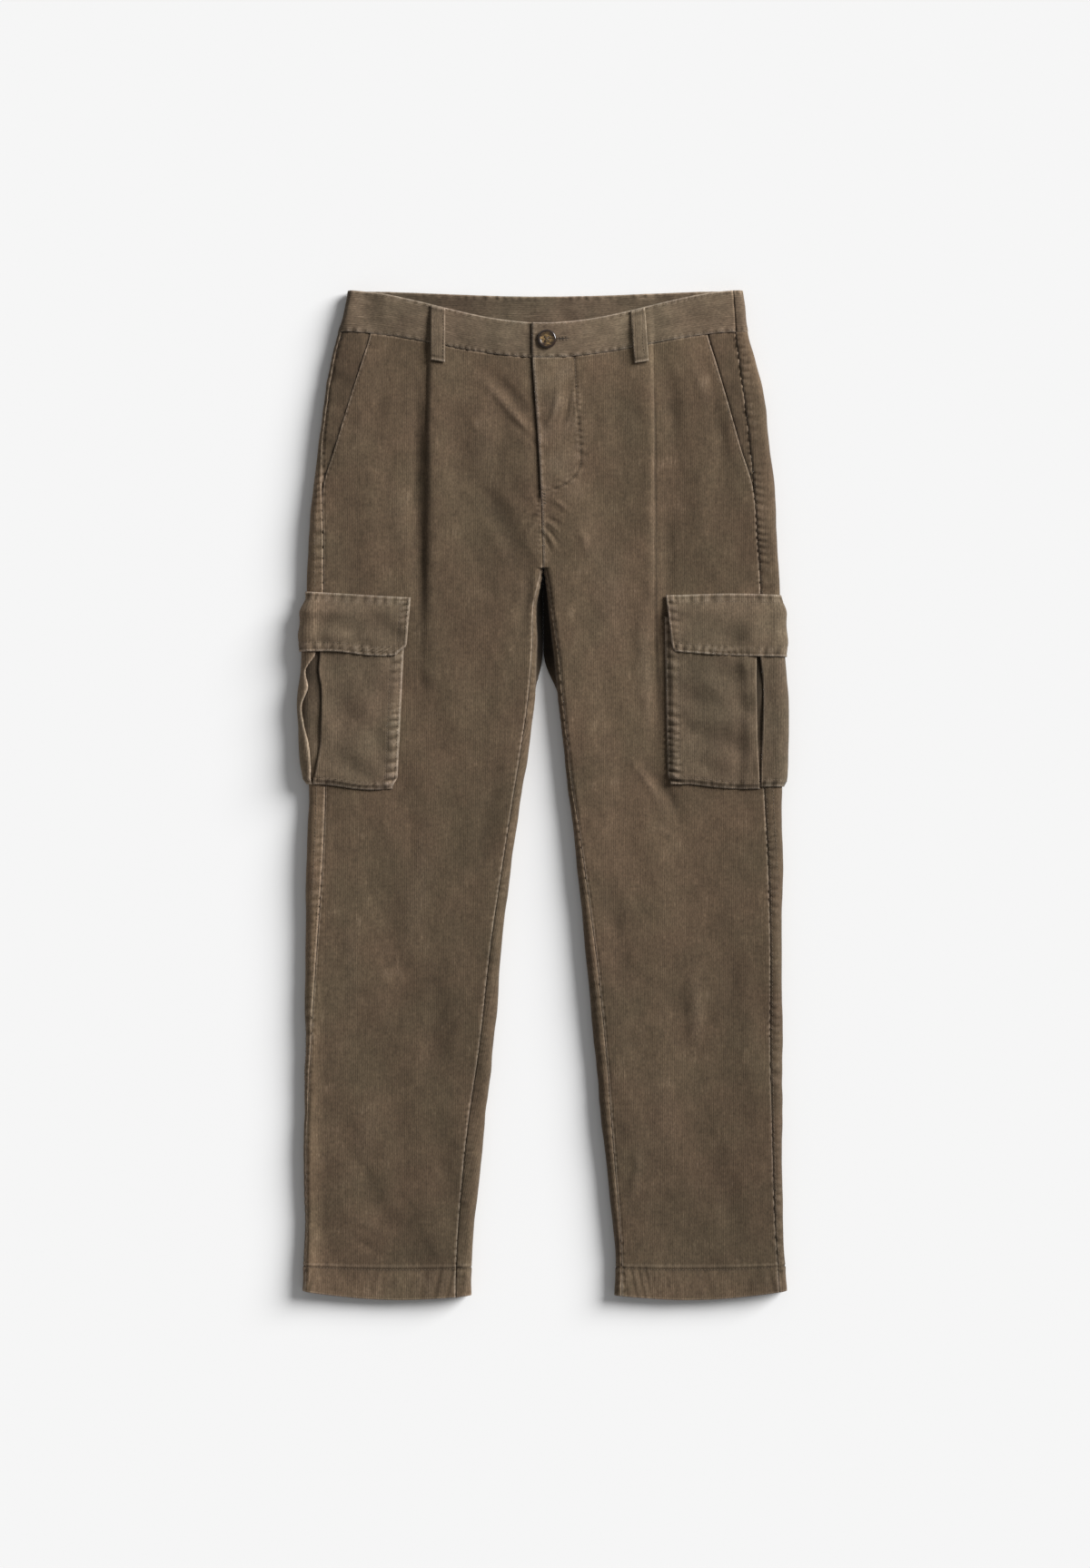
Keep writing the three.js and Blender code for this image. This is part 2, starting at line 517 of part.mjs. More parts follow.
const ROUND_COLUMNS = [0, 0.35, 0.7, 1, 1.5, 2, 2.5, 3];
function bag(side) {
  const { pocket } = side;
  const mainPlace = (station, column, lift) => {
    const down = (BAG_TOP - station) / (BAG_TOP - BAG_EDGE);
    const inner = walkAt(side, station, mix(pocket.bagTop, pocket.bagBottom, down));
    const fold = walkAt(side, station, pocket.pleat);
    const shut = 1 - ease(BAG_EDGE + 4, BAG_EDGE, station);
    const sewn = ease(1, 0.94, column) * shut;
    return place(side, station, mix(fold, inner, column), lift + mix(UNDER_LIFT, BAG_LIFT, sewn));
  };
  const sidePlace = (station, column, lift) => {
    const fold = walkAt(side, station, pocket.pleat + slitAt(pocket, station));
    const walk = roundFold(side, station, fold, BAG_HALF, column);
    const shut = 1 - ease(BAG_EDGE + 4, BAG_EDGE, station);
    return place(side, station, walk, lift + mix(UNDER_LIFT, bagLift(side, station, walk), shut));
  };
  const pleatPlace = (station, column, lift) => {
    const from = walkAt(side, station, pocket.pleat - 12);
    const to = walkAt(side, station, pocket.pleat + slitAt(pocket, station) + 2);
    return place(side, station, mix(from, to, column), lift + BAG_LIFT - CLOTH - 2 * SEAM_GAP);
  };
  const mainColumns = [0, 0.08, 0.3, 0.55, 0.8, 0.94, 1];
  const pleatStations = BAG_STATIONS.slice(0, -2);
  return [
    wall(`pocket_${side.name}_front`, BAG_STATIONS, mainColumns, mainPlace, CLOTH, corduroyPocket),
    wall(`pocket_${side.name}_side`, BAG_STATIONS, ROUND_COLUMNS, sidePlace, CLOTH, corduroyPocket),
    wall(`pocket_${side.name}_pleat`, pleatStations, [0, 0.4, 0.7, 1], pleatPlace, CLOTH, corduroyPocket),
  ];
}

// Width of the opening of the pocket's pleat: widest below the flap, shut at the bottom
function slitAt(pocket, station) {
  const down = (BAG_TOP - station) / (BAG_TOP - BAG_EDGE);
  return SEAM_GAP + pocket.slit * Math.sin(Math.PI * Math.min(down + 0.12, 1));
}

// Flap: sewn down above the bag, lying over it, and carried round under the leg
function flap(side) {
  const { pocket } = side;
  const placeAt = (station, column, lift) => {
    const down = (FLAP_TOP - station) / (FLAP_TOP - FLAP_EDGE);
    const chamfer = 10 * ease(FLAP_EDGE + 9, FLAP_EDGE, station);
    const edge = mix(pocket.flapTop, pocket.flapCorner, down) + chamfer;
    const inner = walkAt(side, station, edge);
    const fold = walkAt(side, station, pocket.pleat + slitAt(pocket, station));
    const round = roundFold(side, station, fold, FLAP_HALF, column);
    const walk = column < 0 ? mix(fold, inner, -column) : round;
    const over = bagLift(side, station, walk) * ease(FLAP_TOP - 1, BAG_TOP + 2, station);
    return place(side, station, walk, lift + UNDER_LIFT + over);
  };
  const columns = [-1, -0.94, -0.8, -0.55, -0.3, -0.1, ...ROUND_COLUMNS];
  return wall(`flap_${side.name}`, FLAP_STATIONS, columns, placeAt, CLOTH, corduroyPocket);
}

// Zip and fly shield, hidden under the fly
function flyStrip(name, from, to, depth, thickness) {
  const stations = [CROTCH + 50, 320, 350, 380, 410, 440, 464, WAIST_SEAM - 4];
  const side = sides.right;
  const placeAt = (station, column, lift) => {
    const line = -along(FLY_LINE, 'reach', station);
    return place(side, station, walkAt(side, station, line + column), lift - depth);
  };
  return wall(name, stations, spread(from, to, 2), placeAt, thickness, corduroy);
}

// Four-hole button on the right end of the band
function button() {
  const face = new THREE.Shape();
  face.absarc(0, 0, BUTTON_RADIUS - 0.8, 0, 2 * Math.PI, false);
  for (const x of [-1, 1]) {
    for (const y of [-1, 1]) {
      const hole = new THREE.Path();
      hole.absarc(x * BUTTON_HOLE_REACH, y * BUTTON_HOLE_REACH, BUTTON_HOLE, 0, 2 * Math.PI, true);
      face.holes.push(hole);
    }
  }
  const bevel = { bevelEnabled: true, bevelSize: 0.8, bevelThickness: 0.8, bevelSegments: 2 };
  const depth = BUTTON_THICK - 1.6;
  const geometry = new THREE.ExtrudeGeometry(face, { depth, curveSegments: 8, ...bevel });
  const mesh = new THREE.Mesh(geometry, new THREE.MeshStandardMaterial(horn));
  mesh.name = 'button';
  const onBand = (station) => {
    const walk = walkAt(sides.right, station, BUTTON_AT.x);
    return place(sides.right, station, walk, BAND_LIFT + BUTTON_SHANK + bevel.bevelThickness);
  };
  const below = onBand(BUTTON_AT.station - BUTTON_RADIUS);
  const above = onBand(BUTTON_AT.station + BUTTON_RADIUS);
  mesh.position.copy(onBand(BUTTON_AT.station));
  mesh.rotation.x = -Math.atan2(below.z - above.z, above.y - below.y);
  return mesh;
}

const trousers = new THREE.Group();
for (const side of Object.values(sides)) {
  trousers.add(front(side), back(side), facing(side), bandFront(side), ...bag(side), flap(side));
}
trousers.add(
  bandBack(),
  beltLoop('belt_loop_front_left', sides.left, 109.6, 109.6, false),
  beltLoop('belt_loop_front_right', sides.right, 102.5, 98.5, false),
  beltLoop('belt_loop_back_left', sides.left, 118, 118, true),
  beltLoop('belt_loop_back_centre', sides.right, 0, 0, true),
  beltLoop('belt_loop_back_right', sides.right, 118, 118, true),
  flyStrip('zip', -10, 14, CLOTH + SEAM_GAP, 1.2),
  flyStrip('fly_shield', -14, 24, CLOTH + 2 * SEAM_GAP + 1.2, CLOTH),
  button(),
);

export default trousers;
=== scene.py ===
# %% [markdown]
# # Corduroy cargo trousers, laid flat
#
# The trousers lie on their back on a pale surface, with the front up, and the camera looks straight down.
# Every piece of cloth here is a grid that follows the flattened tube of the hips and the legs, gets its
# creases, puckers and stitched edges by moving its points, and is thickened into a thin shell.
# Sizes are millimetres until a mesh is made, where they become metres.

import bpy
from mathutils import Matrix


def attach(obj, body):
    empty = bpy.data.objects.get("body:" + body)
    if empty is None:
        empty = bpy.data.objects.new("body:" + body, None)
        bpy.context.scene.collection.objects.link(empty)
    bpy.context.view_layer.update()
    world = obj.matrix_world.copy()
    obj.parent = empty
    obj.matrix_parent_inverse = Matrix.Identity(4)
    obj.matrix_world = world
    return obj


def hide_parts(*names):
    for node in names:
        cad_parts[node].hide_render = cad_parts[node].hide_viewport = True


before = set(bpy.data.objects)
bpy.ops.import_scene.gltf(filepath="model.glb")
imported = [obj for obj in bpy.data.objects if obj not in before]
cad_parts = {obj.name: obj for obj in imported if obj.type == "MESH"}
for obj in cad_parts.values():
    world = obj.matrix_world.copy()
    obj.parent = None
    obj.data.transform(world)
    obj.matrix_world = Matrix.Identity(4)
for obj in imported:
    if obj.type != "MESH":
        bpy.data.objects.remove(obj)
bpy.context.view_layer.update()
print("CAD nodes:", len(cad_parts))

# %% [markdown]
# ## Modules and units
#
# Points are worked out as arrays, because a loop over each point would be slow. bmesh makes the first grids,
# discs and beads.

# %% Modules and units
import math

import bmesh
import bpy
import numpy as np

MM = 0.001
print("Blender", bpy.app.version_string)

# %% [markdown]
# ## Driving sizes
#
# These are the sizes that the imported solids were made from. A garment maker would call the stations
# heights on the pattern: the waist seam, the crotch and the hem. Distances are from the centre line.

# %% Cloth, seams and stations
CLOTH = 1.6
BAND_CLOTH = 2.6
HEM_CLOTH = 2.8
SEAM_GAP = 0.3
WALE = 2.05

WAIST_TOP = 526.6
WAIST_SEAM = 483
CROTCH = 238
HEM_TOP = -493
HEM_EDGE = -522

SAG = 1.6
BAND_LIFT = 0.5
CROTCH_CURL = 24
BAND_CLOSE = 12


def table(columns, rows):
    """Table with named columns, whose rows run from the waist down."""
    values = np.array(rows, dtype=float)
    return {name: values[:, index] for index, name in enumerate(columns.split())}


print("waist to hem", WAIST_TOP - HEM_EDGE, "mm")

# %% [markdown]
# ## Outline, seams and pleat
#
# On the pattern these are the side seams, the inside leg seams, the pocket mouths and the pleats. They could
# be curves drawn by hand; tables are used because each row can be measured on the garment and put right.
# Each row gives distances from the centre line at one height.

# %% Outline, seams and pleat
LEFT = table("y outer inner seam inseam slash", [
    (526, 204.0, 0, 201.0, 0, 176),
    (504, 208.0, 0, 205.0, 0, 178),
    (480, 214.5, 0, 211.5, 0, 181),
    (456, 220.5, 0, 217.5, 0, 188),
    (409, 229.0, 0, 225.5, 0, 203),
    (361, 234.0, 0, 230.0, 0, 217.5),
    (320, 240.5, 0, 230.5, 0, 229.5),
    (266, 245.0, 0, 229.0, 0, 229),
    (238, 246.0, 0.3, 229.0, 1.2, 229),
    (219, 246.5, 2.8, 229.0, 5.0, 229),
    (195, 246.5, 7.0, 229.0, 10.2, 229),
    (148, 247.5, 6.0, 229.0, 11.5, 229),
    (100, 251.0, 8.5, 228.0, 16.0, 228),
    (52, 250.0, 14.2, 227.5, 22.8, 227.5),
    (5, 244.5, 21.8, 227.0, 30.3, 227),
    (-66, 247.0, 32.3, 229.5, 41.5, 229.5),
    (-161, 248.0, 43.7, 236.0, 55.5, 236),
    (-256, 248.0, 51.3, 242.0, 66.0, 242),
    (-351, 249.5, 61.8, 246.5, 79.5, 246.5),
    (-446, 249.0, 71.2, 247.0, 88.5, 247),
    (-493, 250.0, 75.0, 248.0, 91.0, 248),
    (-522, 251.0, 75.0, 249.0, 91.5, 249),
])
RIGHT = table("y outer inner seam inseam slash", [
    (526, 208.0, 0, 198.0, 0, 166),
    (504, 211.0, 0, 199.5, 0, 168),
    (480, 214.5, 0, 201.0, 0, 172),
    (456, 221.0, 0, 204.0, 0, 179),
    (409, 231.5, 0, 210.0, 0, 192.5),
    (361, 236.5, 0, 216.0, 0, 206),
    (320, 241.5, 0, 219.5, 0, 218.5),
    (266, 244.0, 0, 223.0, 0, 223),
    (238, 246.0, 0.3, 225.0, 1.2, 225),
    (219, 247.0, 2.8, 226.0, 5.0, 226),
    (195, 247.0, 5.7, 226.5, 8.6, 226.5),
    (148, 247.5, 10.4, 227.0, 15.4, 227),
    (100, 250.0, 16.1, 228.0, 20.6, 228),
    (52, 251.0, 20.9, 229.0, 25.4, 229),
    (5, 248.5, 26.6, 230.0, 31.0, 230),
    (-66, 250.5, 34.2, 234.0, 41.5, 234),
    (-161, 249.0, 43.7, 236.5, 54.5, 236.5),
    (-256, 249.5, 53.2, 236.5, 64.5, 236.5),
    (-351, 249.5, 61.8, 238.5, 72.0, 238.5),
    (-446, 250.5, 72.2, 241.5, 79.5, 241.5),
    (-493, 252.5, 76.0, 244.5, 82.0, 244.5),
    (-522, 253.5, 75.0, 246.0, 82.0, 246),
])
SHARED = table("y loft front_dip back_dip pleat pleat_height step", [
    (526, 14.0, 34.0, 5.5, 115, 0, 2.0),
    (483, 15.5, 27.0, 4.0, 116, 2.6, 1.6),
    (440, 17.0, 15.0, 2.0, 117, 3.2, 1.6),
    (380, 18.0, 3.0, 0, 118, 3.6, 1.8),
    (330, 18.0, 0, 0, 118, 3.6, 2.6),
    (238, 18.0, 0, 0, 119, 3.0, 7.0),
    (170, 18.0, 0, 0, 119, 1.8, 10.0),
    (60, 18.5, 0, 0, 123, 0.4, 12.0),
    (0, 18.5, 0, 0, 128, 0, 12.0),
    (-300, 17.0, 0, 0, 148, 0, 12.0),
    (-522, 15.5, 0, 0, 162, 0, 12.0),
])
FLY_LINE = table("y reach", [
    (526, 13.5), (456, 10.5), (373, 5.7), (316, 2.9), (258, 1.0), (200, 0.0),
])
print("leg width at the hem", LEFT["outer"][-1] - LEFT["inner"][-1], "mm")

# %% [markdown]
# ## Pockets, loops and button
#
# The trimmings have sizes of their own. They could be scaled to the legs, but a maker cuts them to standard
# sizes, so they are plain numbers here. A pocket's open pleat is two edges that part in the middle.

# %% Pockets, loops and button
FLAP_TOP = 209
FLAP_EDGE = 147
BAG_TOP = 186
BAG_EDGE = 7
BAG_LIFT = 5.4
UNDER_LIFT = CLOTH + 0.7
UNDER_STACK = 2 * UNDER_LIFT
BAG_HALF = 90
FLAP_HALF = BAG_HALF + 4
LOOP_WIDTH = 15
LOOP_BELOW_SEAM = 21
LOOP_CLOTH = 1.5
LOOP_ARCH = 1.6
BUTTON_RADIUS = 10
BUTTON_THICK = 3.4
BUTTON_HOLE = 1.1
BUTTON_HOLE_REACH = 2
BUTTON_SHANK = 0.7
BUTTON_X = 3.8
BUTTON_STATION = 506
SLIT_START = 9
SLIT_LONG = 14

# Edges of the open pleat of each pocket: of its front and of its side
LEFT_SLIT = table("y main side", [
    (209, 231.5, 233.0), (147, 232.3, 236.8), (129, 233.6, 245.6), (110, 231.0, 243.7), (91, 230.6, 248.2),
    (71, 230.9, 247.2), (50, 231.9, 242.9), (27, 235.3, 239.9), (7, 238.6, 239.9),
])
RIGHT_SLIT = table("y main side", [
    (209, 221.9, 223.0), (147, 221.9, 225.6), (115, 221.9, 228.7), (87, 222.3, 228.7),
    (57, 223.0, 227.6), (27, 224.5, 226.3), (7, 225.5, 226.2),
])


class Side:
    """One side of the trousers: its sign along X, its tables and its pocket."""

    def __init__(self, name, sign, outline, pleat_shift, slit, flap, bag, corners):
        self.name = name
        self.sign = sign
        self.outline = outline
        self.pleat_shift = pleat_shift
        self.slit = slit
        self.flap_top, self.flap_corner = flap
        self.bag_top, self.bag_bottom = bag
        self.flap_cut, self.bag_corner = corners


left = Side("left", -1, LEFT, 2.5, LEFT_SLIT, (137.8, 142.8), (143.5, 152), (10, 5))
right = Side("right", 1, RIGHT, -2.5, RIGHT_SLIT, (127.5, 134.5), (126.5, 129.5), (2.5, 3))
print("pockets from", BAG_TOP, "to", BAG_EDGE, "mm")

# %% [markdown]
# ## Curves and uneven fields
#
# Real cloth is never quite regular. These helpers give smooth curves through the tables, soft steps and
# bumps, and uneven waves that come out the same on each run.

# %% Curve helpers
def along(rows, column, y):
    """Smooth curve through one column of a table, at the heights y."""
    heights, values = rows["y"], rows[column]
    last = len(heights) - 1
    inside = np.clip(y, heights[-1], heights[0])
    row = np.clip(np.searchsorted(-heights, -inside, side="left") - 1, 0, last - 1)
    index = np.arange(last + 1)
    before, after = np.maximum(index - 1, 0), np.minimum(index + 1, last)
    slopes = (values[after] - values[before]) / (heights[before] - heights[after])
    span = heights[row] - heights[row + 1]
    t = (heights[row] - inside) / span
    square, cube = t ** 2, t ** 3
    start = (2 * cube - 3 * square + 1) * values[row] + (cube - 2 * square + t) * slopes[row] * span
    end = (3 * square - 2 * cube) * values[row + 1] + (cube - square) * slopes[row + 1] * span
    return start + end


def mix(start, end, t):
    """Value on the way from the start to the end."""
    return start + (end - start) * t


def ease(start, end, value):
    """Soft step from 0 at the start to 1 at the end."""
    t = np.clip((value - start) / (end - start), 0, 1)
    return t * t * (3 - 2 * t)


def bell(t):
    """Soft bump: 1 at zero, 0 from one on."""
    return np.where(np.abs(t) < 1, 0.5 + 0.5 * np.cos(np.pi * np.clip(t, -1, 1)), 0)


print("pleat at the waist seam:", float(along(SHARED, "pleat", 483.0)))

# %% [markdown]
# ## Uneven waves
#
# Washed cloth is uneven all over, and a stitched seam pulls it into pads. Noise textures could do that in
# the material alone; sums of waves are used because they move the points too, and are the same on each run.

# %% Uneven waves
WAVES = 7


def uneven(u, v, length, seed):
    """Field that rises and falls by about one, with waves of about the given length."""
    random = np.random.default_rng(seed)
    total = 0
    for _ in range(WAVES):
        angle = random.uniform(0, 2 * math.pi)
        wave = length * random.uniform(0.7, 1.5)
        phase = random.uniform(0, 2 * math.pi)
        total = total + np.sin((u * math.cos(angle) + v * math.sin(angle)) * 2 * math.pi / wave + phase)
    return total / math.sqrt(WAVES)


def ladder(distance, pitch, seed):
    """Uneven row of pads along a seam, with narrow creases between them, about one pitch apart."""
    slow_drift = 0.7 * np.sin(distance / (2.9 * pitch) + seed)
    quick_drift = 0.28 * np.sin(distance / (1.3 * pitch) + 2 * seed)
    drift = slow_drift + quick_drift
    slow_swell = 0.25 * np.sin(distance / (3.1 * pitch) + 3 * seed)
    strength = 0.6 + slow_swell + 0.2 * np.sin(distance / (1.1 * pitch))
    crease = (0.5 + 0.5 * np.cos(2 * np.pi * (distance / pitch + drift))) ** 2.5
    return (1 - 2 * crease) * strength


print("sample of a ladder:", np.round(ladder(np.arange(0, 12, 3.0), 8, 1), 2))

# %% [markdown]
# ## Creases, listed one by one
#
# Each row is one soft crease as a person would press it in with a finger: its two ends, how wide it is to
# each side, and how high it stands (plus) or how deep it lies (minus). X runs to the viewer's right.

# %% Creases of the front
FOLDS = table("y side start across along height lean", [
    (330, -1, 178, 22, 120, 1.6, 0.05),
    (300, -1, 60, 26, 110, -1.4, 0.08),
    (120, -1, 92, 30, 150, 1.5, -0.05),
    (-160, -1, 150, 30, 170, -1.2, -0.06),
    (-430, -1, 190, 26, 90, 1.3, 0.3),
    (320, 1, 165, 24, 120, 1.5, 0.04),
    (260, 1, 62, 26, 130, -1.3, 0.1),
    (130, 1, 112, 16, 70, -1.5, 0),
    (-90, 1, 120, 32, 160, 1.4, -0.08),
    (-330, 1, 170, 30, 140, -1.2, -0.05),
])
CREASES = table("y x end_y end_x wide height", [
    (402, -42, 358, -6, 6, -0.9),
    (418, -46, 372, -12, 7, 1.2),
    (386, -30, 352, -4, 3, 0.6),
    (468, -88, 378, -14, 9, 1.5),
    (466, -66, 388, -8, 11, -1.8),
    (350, -80, 215, -14, 18, -2.6),
    (262, -16, 150, -26, 10, -2.0),
    (440, -62, 300, -70, 20, 1.2),
    (455, -136, 290, -132, 9, -2.0),
    (430, -135, 105, -133, 12, -3.0),
    (330, -129, 110, -131, 7, -1.0),
    (350, -160, 230, -150, 16, 1.2),
    (142, -138, 92, -120, 6, -0.6),
    (150, -128, 100, -108, 8, 0.5),
    (460, -165, 350, -185, 14, -1.4),
    (420, -190, 330, -206, 9, 0.9),
    (291, -6, 278, 24, 3, -1.1),
    (290, -6, 268, 22, 3, 1.1),
    (286, -7, 256, 20, 2.6, -1.3),
    (284, -7, 250, 16, 2.8, 1.2),
    (279, -7, 244, 11, 2.4, -1.2),
    (310, 4, 292, 30, 5, 1.2),
    (296, -4, 284, -24, 3.4, -1.4),
    (288, -4, 270, -22, 3.6, 1.1),
    (318, -8, 296, -6, 3.0, -1.5),
    (290, 30, 235, 50, 8, 1.0),
    (458, 16, 372, 0, 6, 1.7),
    (458, 27, 366, 12, 6, -1.5),
    (440, 36, 380, 28, 5, 1.2),
    (445, 46, 350, 52, 9, -1.2),
    (440, 78, 330, 92, 16, 1.0),
    (465, 124, 330, 138, 12, -1.6),
    (470, 150, 380, 172, 12, 1.2),
    (420, 172, 330, 188, 10, -1.4),
    (330, 128, 150, 124, 10, -2.2),
    (300, 60, 120, 70, 30, 1.6),
    (230, 98, 60, 104, 14, 1.8),
    (150, 104, 36, 104, 7, 1.0),
    (150, 116, 30, 116, 7, -1.2),
    (48, 80, -34, 134, 6, 1.6),
    (36, 102, -40, 150, 9, -1.8),
    (-30, 112, -52, 142, 5, 1.1),
    (30, -60, -120, -72, 20, -1.8),
    (10, -120, -200, -150, 22, 1.4),
    (-4, -143, -110, -142, 4, -0.8),
    (-100, -210, -240, -200, 14, 1.2),
    (-150, -110, -330, -120, 20, -1.6),
    (-300, -180, -420, -205, 18, 1.4),
    (-457, -212, -485, -164, 6, -1.3),
    (-440, -205, -462, -160, 7, 1.1),
    (-330, -230, -470, -150, 10, -0.9),
    (-360, 98, -430, 88, 8, 1.1),
    (-459, 233, -474, 252, 3.5, -1.4),
    (-465, 235, -481, 250, 3.5, 1.0),
    (-170, 153, -280, 154, 13, 2.1),
    (-60, 60, -220, 84, 16, -1.4),
    (-120, 190, -300, 200, 20, -1.5),
    (-260, 110, -400, 130, 22, 1.3),
    (-360, 180, -470, 200, 18, -1.3),
])


def creases(x, y):
    """Height that the listed creases add at a point of the front."""
    total = 0
    for start_y, start_x, end_y, end_x, wide, height in zip(*CREASES.values()):
        run_x, run_y = end_x - start_x, end_y - start_y
        length = math.hypot(run_x, run_y)
        gone = ((x - start_x) * run_x + (y - start_y) * run_y) / length ** 2
        beside = ((x - start_x) * run_y - (y - start_y) * run_x) / length
        bowed = beside + min(0.06 * length, 5) * np.sin(np.pi * np.clip(gone, 0, 1))
        total = total + height * bell(bowed / wide) * bell(2 * np.clip(gone, -0.5, 1.5) - 1)
    return total


def pleat_at(side, station):
    """Distance of the pleat from the centre line."""
    return along(SHARED, "pleat", station) + side.pleat_shift


def relief(side, station, reach):
    """Height of the pleat and the largest folds. The pleat's fold faces the side seam."""
    pleat = pleat_at(side, station)
    height = np.maximum(along(SHARED, "pleat_height", station), 0)
    step = along(SHARED, "step", station)
    total = height * (1 - ease(0, 40, pleat - reach)) * ease(step / 2, -step / 2, reach - pleat)
    for y, sign, start, across, reach_along, high, lean in zip(*FOLDS.values()):
        if sign == side.sign:
            middle = start + lean * (station - y)
            total = total + high * bell((reach - middle) / across) * bell((station - y) / reach_along)
    return total


print("creases:", len(CREASES["y"]), "folds:", len(FOLDS["y"]))

# %% [markdown]
# ## The flattened tube
#
# A place on the garment is a station and a walk: how far round the section from the tip of the outer fold,
# over the top when it is positive and under it when it is negative. All cloth follows this one surface, so
# layers that lie on each other share its creases and never cross.

# %% Section of the tube
DIP_REACH = 215
SHARE_OF_SAG = 0.42


def base_lift(station, reach):
    """How far the back is held up by the pockets, flaps and belt loops under it."""
    flap = ease(FLAP_TOP + 22, FLAP_TOP + 3, station) * ease(FLAP_EDGE - 25, FLAP_EDGE - 4, station)
    bag = ease(BAG_TOP + 10, BAG_TOP, station) * ease(BAG_EDGE - 24, BAG_EDGE - 3, station)
    pocket = np.maximum(flap * UNDER_STACK, bag * UNDER_LIFT) * ease(130, 165, reach)
    loops = (LOOP_CLOTH + SEAM_GAP) * ease(WAIST_SEAM - 45, WAIST_SEAM - 23, station)
    return np.maximum(pocket, loops)


def finish(side, station, reach, height, out, lift):
    """Point in millimetres, with the sag, the creases, the waist's dip and the hem's curve."""
    out_reach, out_height = out
    radius = along(SHARED, "loft", station) / 2
    outer = along(side.outline, "outer", station)
    inner = along(side.outline, "inner", station)
    front = ease(0.2, 1, height / (2 * radius))
    share = (outer - reach) / (outer - inner)
    x = side.sign * reach
    rough = 0.55 * uneven(x, station * 0.5, 52, 11) + 0.13 * uneven(x, station * 0.6, 17, 12)
    sag = SAG * bell((share - 0.5) / SHARE_OF_SAG)
    soft = relief(side, station, reach) - sag + creases(x, station) + rough
    under = (1 - front) * 0.35 * (1 + uneven(x, station * 0.6, 60, 13)) * ease(0, 12, outer - reach)
    base = base_lift(station, reach) * (1 - height / (2 * radius))
    z = np.maximum(height + base + front * soft + under + lift * out_height, 0)
    dip = mix(along(SHARED, "back_dip", station), along(SHARED, "front_dip", station), front)
    hem = ease(HEM_TOP + 20, HEM_EDGE, station) * (4.5 * (1 - share) - 6.8 * np.sin(np.pi * share))
    edge = 0.5 * uneven(station, 0 * station, 70, 14 + side.sign)
    edge = edge + 0.15 * uneven(station, 0 * station, 22, 15)
    x = side.sign * (reach + (lift + edge) * out_reach)
    return np.stack(np.broadcast_arrays(x, station - dip * bell(reach / DIP_REACH) + hem, z), axis=-1)


def curl(station):
    """How far the inner fold has closed: 0 above the crotch, 1 on the leg."""
    return 0.35 * ease(CROTCH + 4, CROTCH + 1, station) + 0.65 * ease(CROTCH + 1, CROTCH - 1.5, station)


def quarter_at(station):
    """Walk round a quarter of the outer fold, from its tip to the level cloth."""
    return along(SHARED, "loft", station) / 2 * math.pi / 2


def walk_at(side, station, reach):
    """Walk at which a place lies on the top, by its distance from the centre line."""
    radius = along(SHARED, "loft", station) / 2
    centre = along(side.outline, "outer", station) - radius
    level = radius * math.pi / 2 + centre - reach
    return np.where(reach < centre, level, radius * np.arccos(np.clip((reach - centre) / radius, -1, 1)))


def place(side, station, walk, lift=0.0):
    """Point on the outer face of the tube, moved out by a lift."""
    radius = along(SHARED, "loft", station) / 2
    outer = along(side.outline, "outer", station)
    inner = along(side.outline, "inner", station)
    quarter = radius * math.pi / 2
    on_leg = curl(station) >= 0.99
    distance = np.abs(walk)
    up = np.where(walk < 0, -1.0, 1.0)
    flat = np.where(on_leg, outer - inner - 2 * radius, np.inf)
    outer_angle = np.minimum(distance / radius, math.pi / 2)
    level = np.minimum(np.maximum(distance - quarter, 0), flat)
    inner_angle = np.clip((distance - quarter - np.where(on_leg, flat, 0)) / radius, 0, math.pi) * on_leg
    reach = outer - radius + radius * np.cos(outer_angle) - level - radius * np.sin(inner_angle)
    turned = up * np.sin(outer_angle) * np.cos(inner_angle)
    out = (np.cos(outer_angle) - np.sin(inner_angle), turned)
    return finish(side, station, reach, radius * (1 + turned), out, lift)


print("outer fold of the left hip:", np.round(place(left, np.array([300.0]), np.array([0.0])), 1))

# %% [markdown]
# ## Inner fold of the back
#
# On each leg the back comes up round the inner fold to the inside leg seam. At the crotch that fold opens
# out into the level back of the hips. It could be two meshes that meet; one surface whose fold closes within
# a few millimetres is used, because the back is one piece of cloth.

# %% Inner fold of the back
STRAIGHT = 1e5
FORK_GAP = 0.06


def curl_shape(side, station):
    """Length of the cloth past the level part of the back, how tightly it bends, and where it starts."""
    radius = along(SHARED, "loft", station) / 2
    inner = np.maximum(along(side.outline, "inner", station), SEAM_GAP / 2)
    inseam = along(side.outline, "inseam", station)
    closing = curl(station)
    on_arc = np.clip((inseam - inner) / radius, 0, 1)
    over_top = np.maximum(inseam - inner - radius, 0)
    seam = np.where(closing < 1, 0, SEAM_GAP)
    wrap = radius * (math.pi / 2 + np.arccos(1 - on_arc)) + over_top - seam
    length = mix(CROTCH_CURL, wrap, closing)
    bend = np.where(closing < 0.01, STRAIGHT, radius / np.maximum(closing, 0.01))
    start = inner + np.where(length / bend > math.pi / 2, bend, bend * np.sin(length / bend))
    return length, bend, start


def back_end(side, station):
    """Walks under the garment at which the curl starts and at which the back ends."""
    radius = along(SHARED, "loft", station) / 2
    length, _, start = curl_shape(side, station)
    level = radius * math.pi / 2 + along(side.outline, "outer", station) - radius - start
    return -level, -level - length


def curl_angle(side, station, walk):
    """How far the back has turned round its inner fold, in radians."""
    _, bend, _ = curl_shape(side, station)
    return np.minimum(np.maximum(back_end(side, station)[0] - walk, 0) / bend, math.pi)


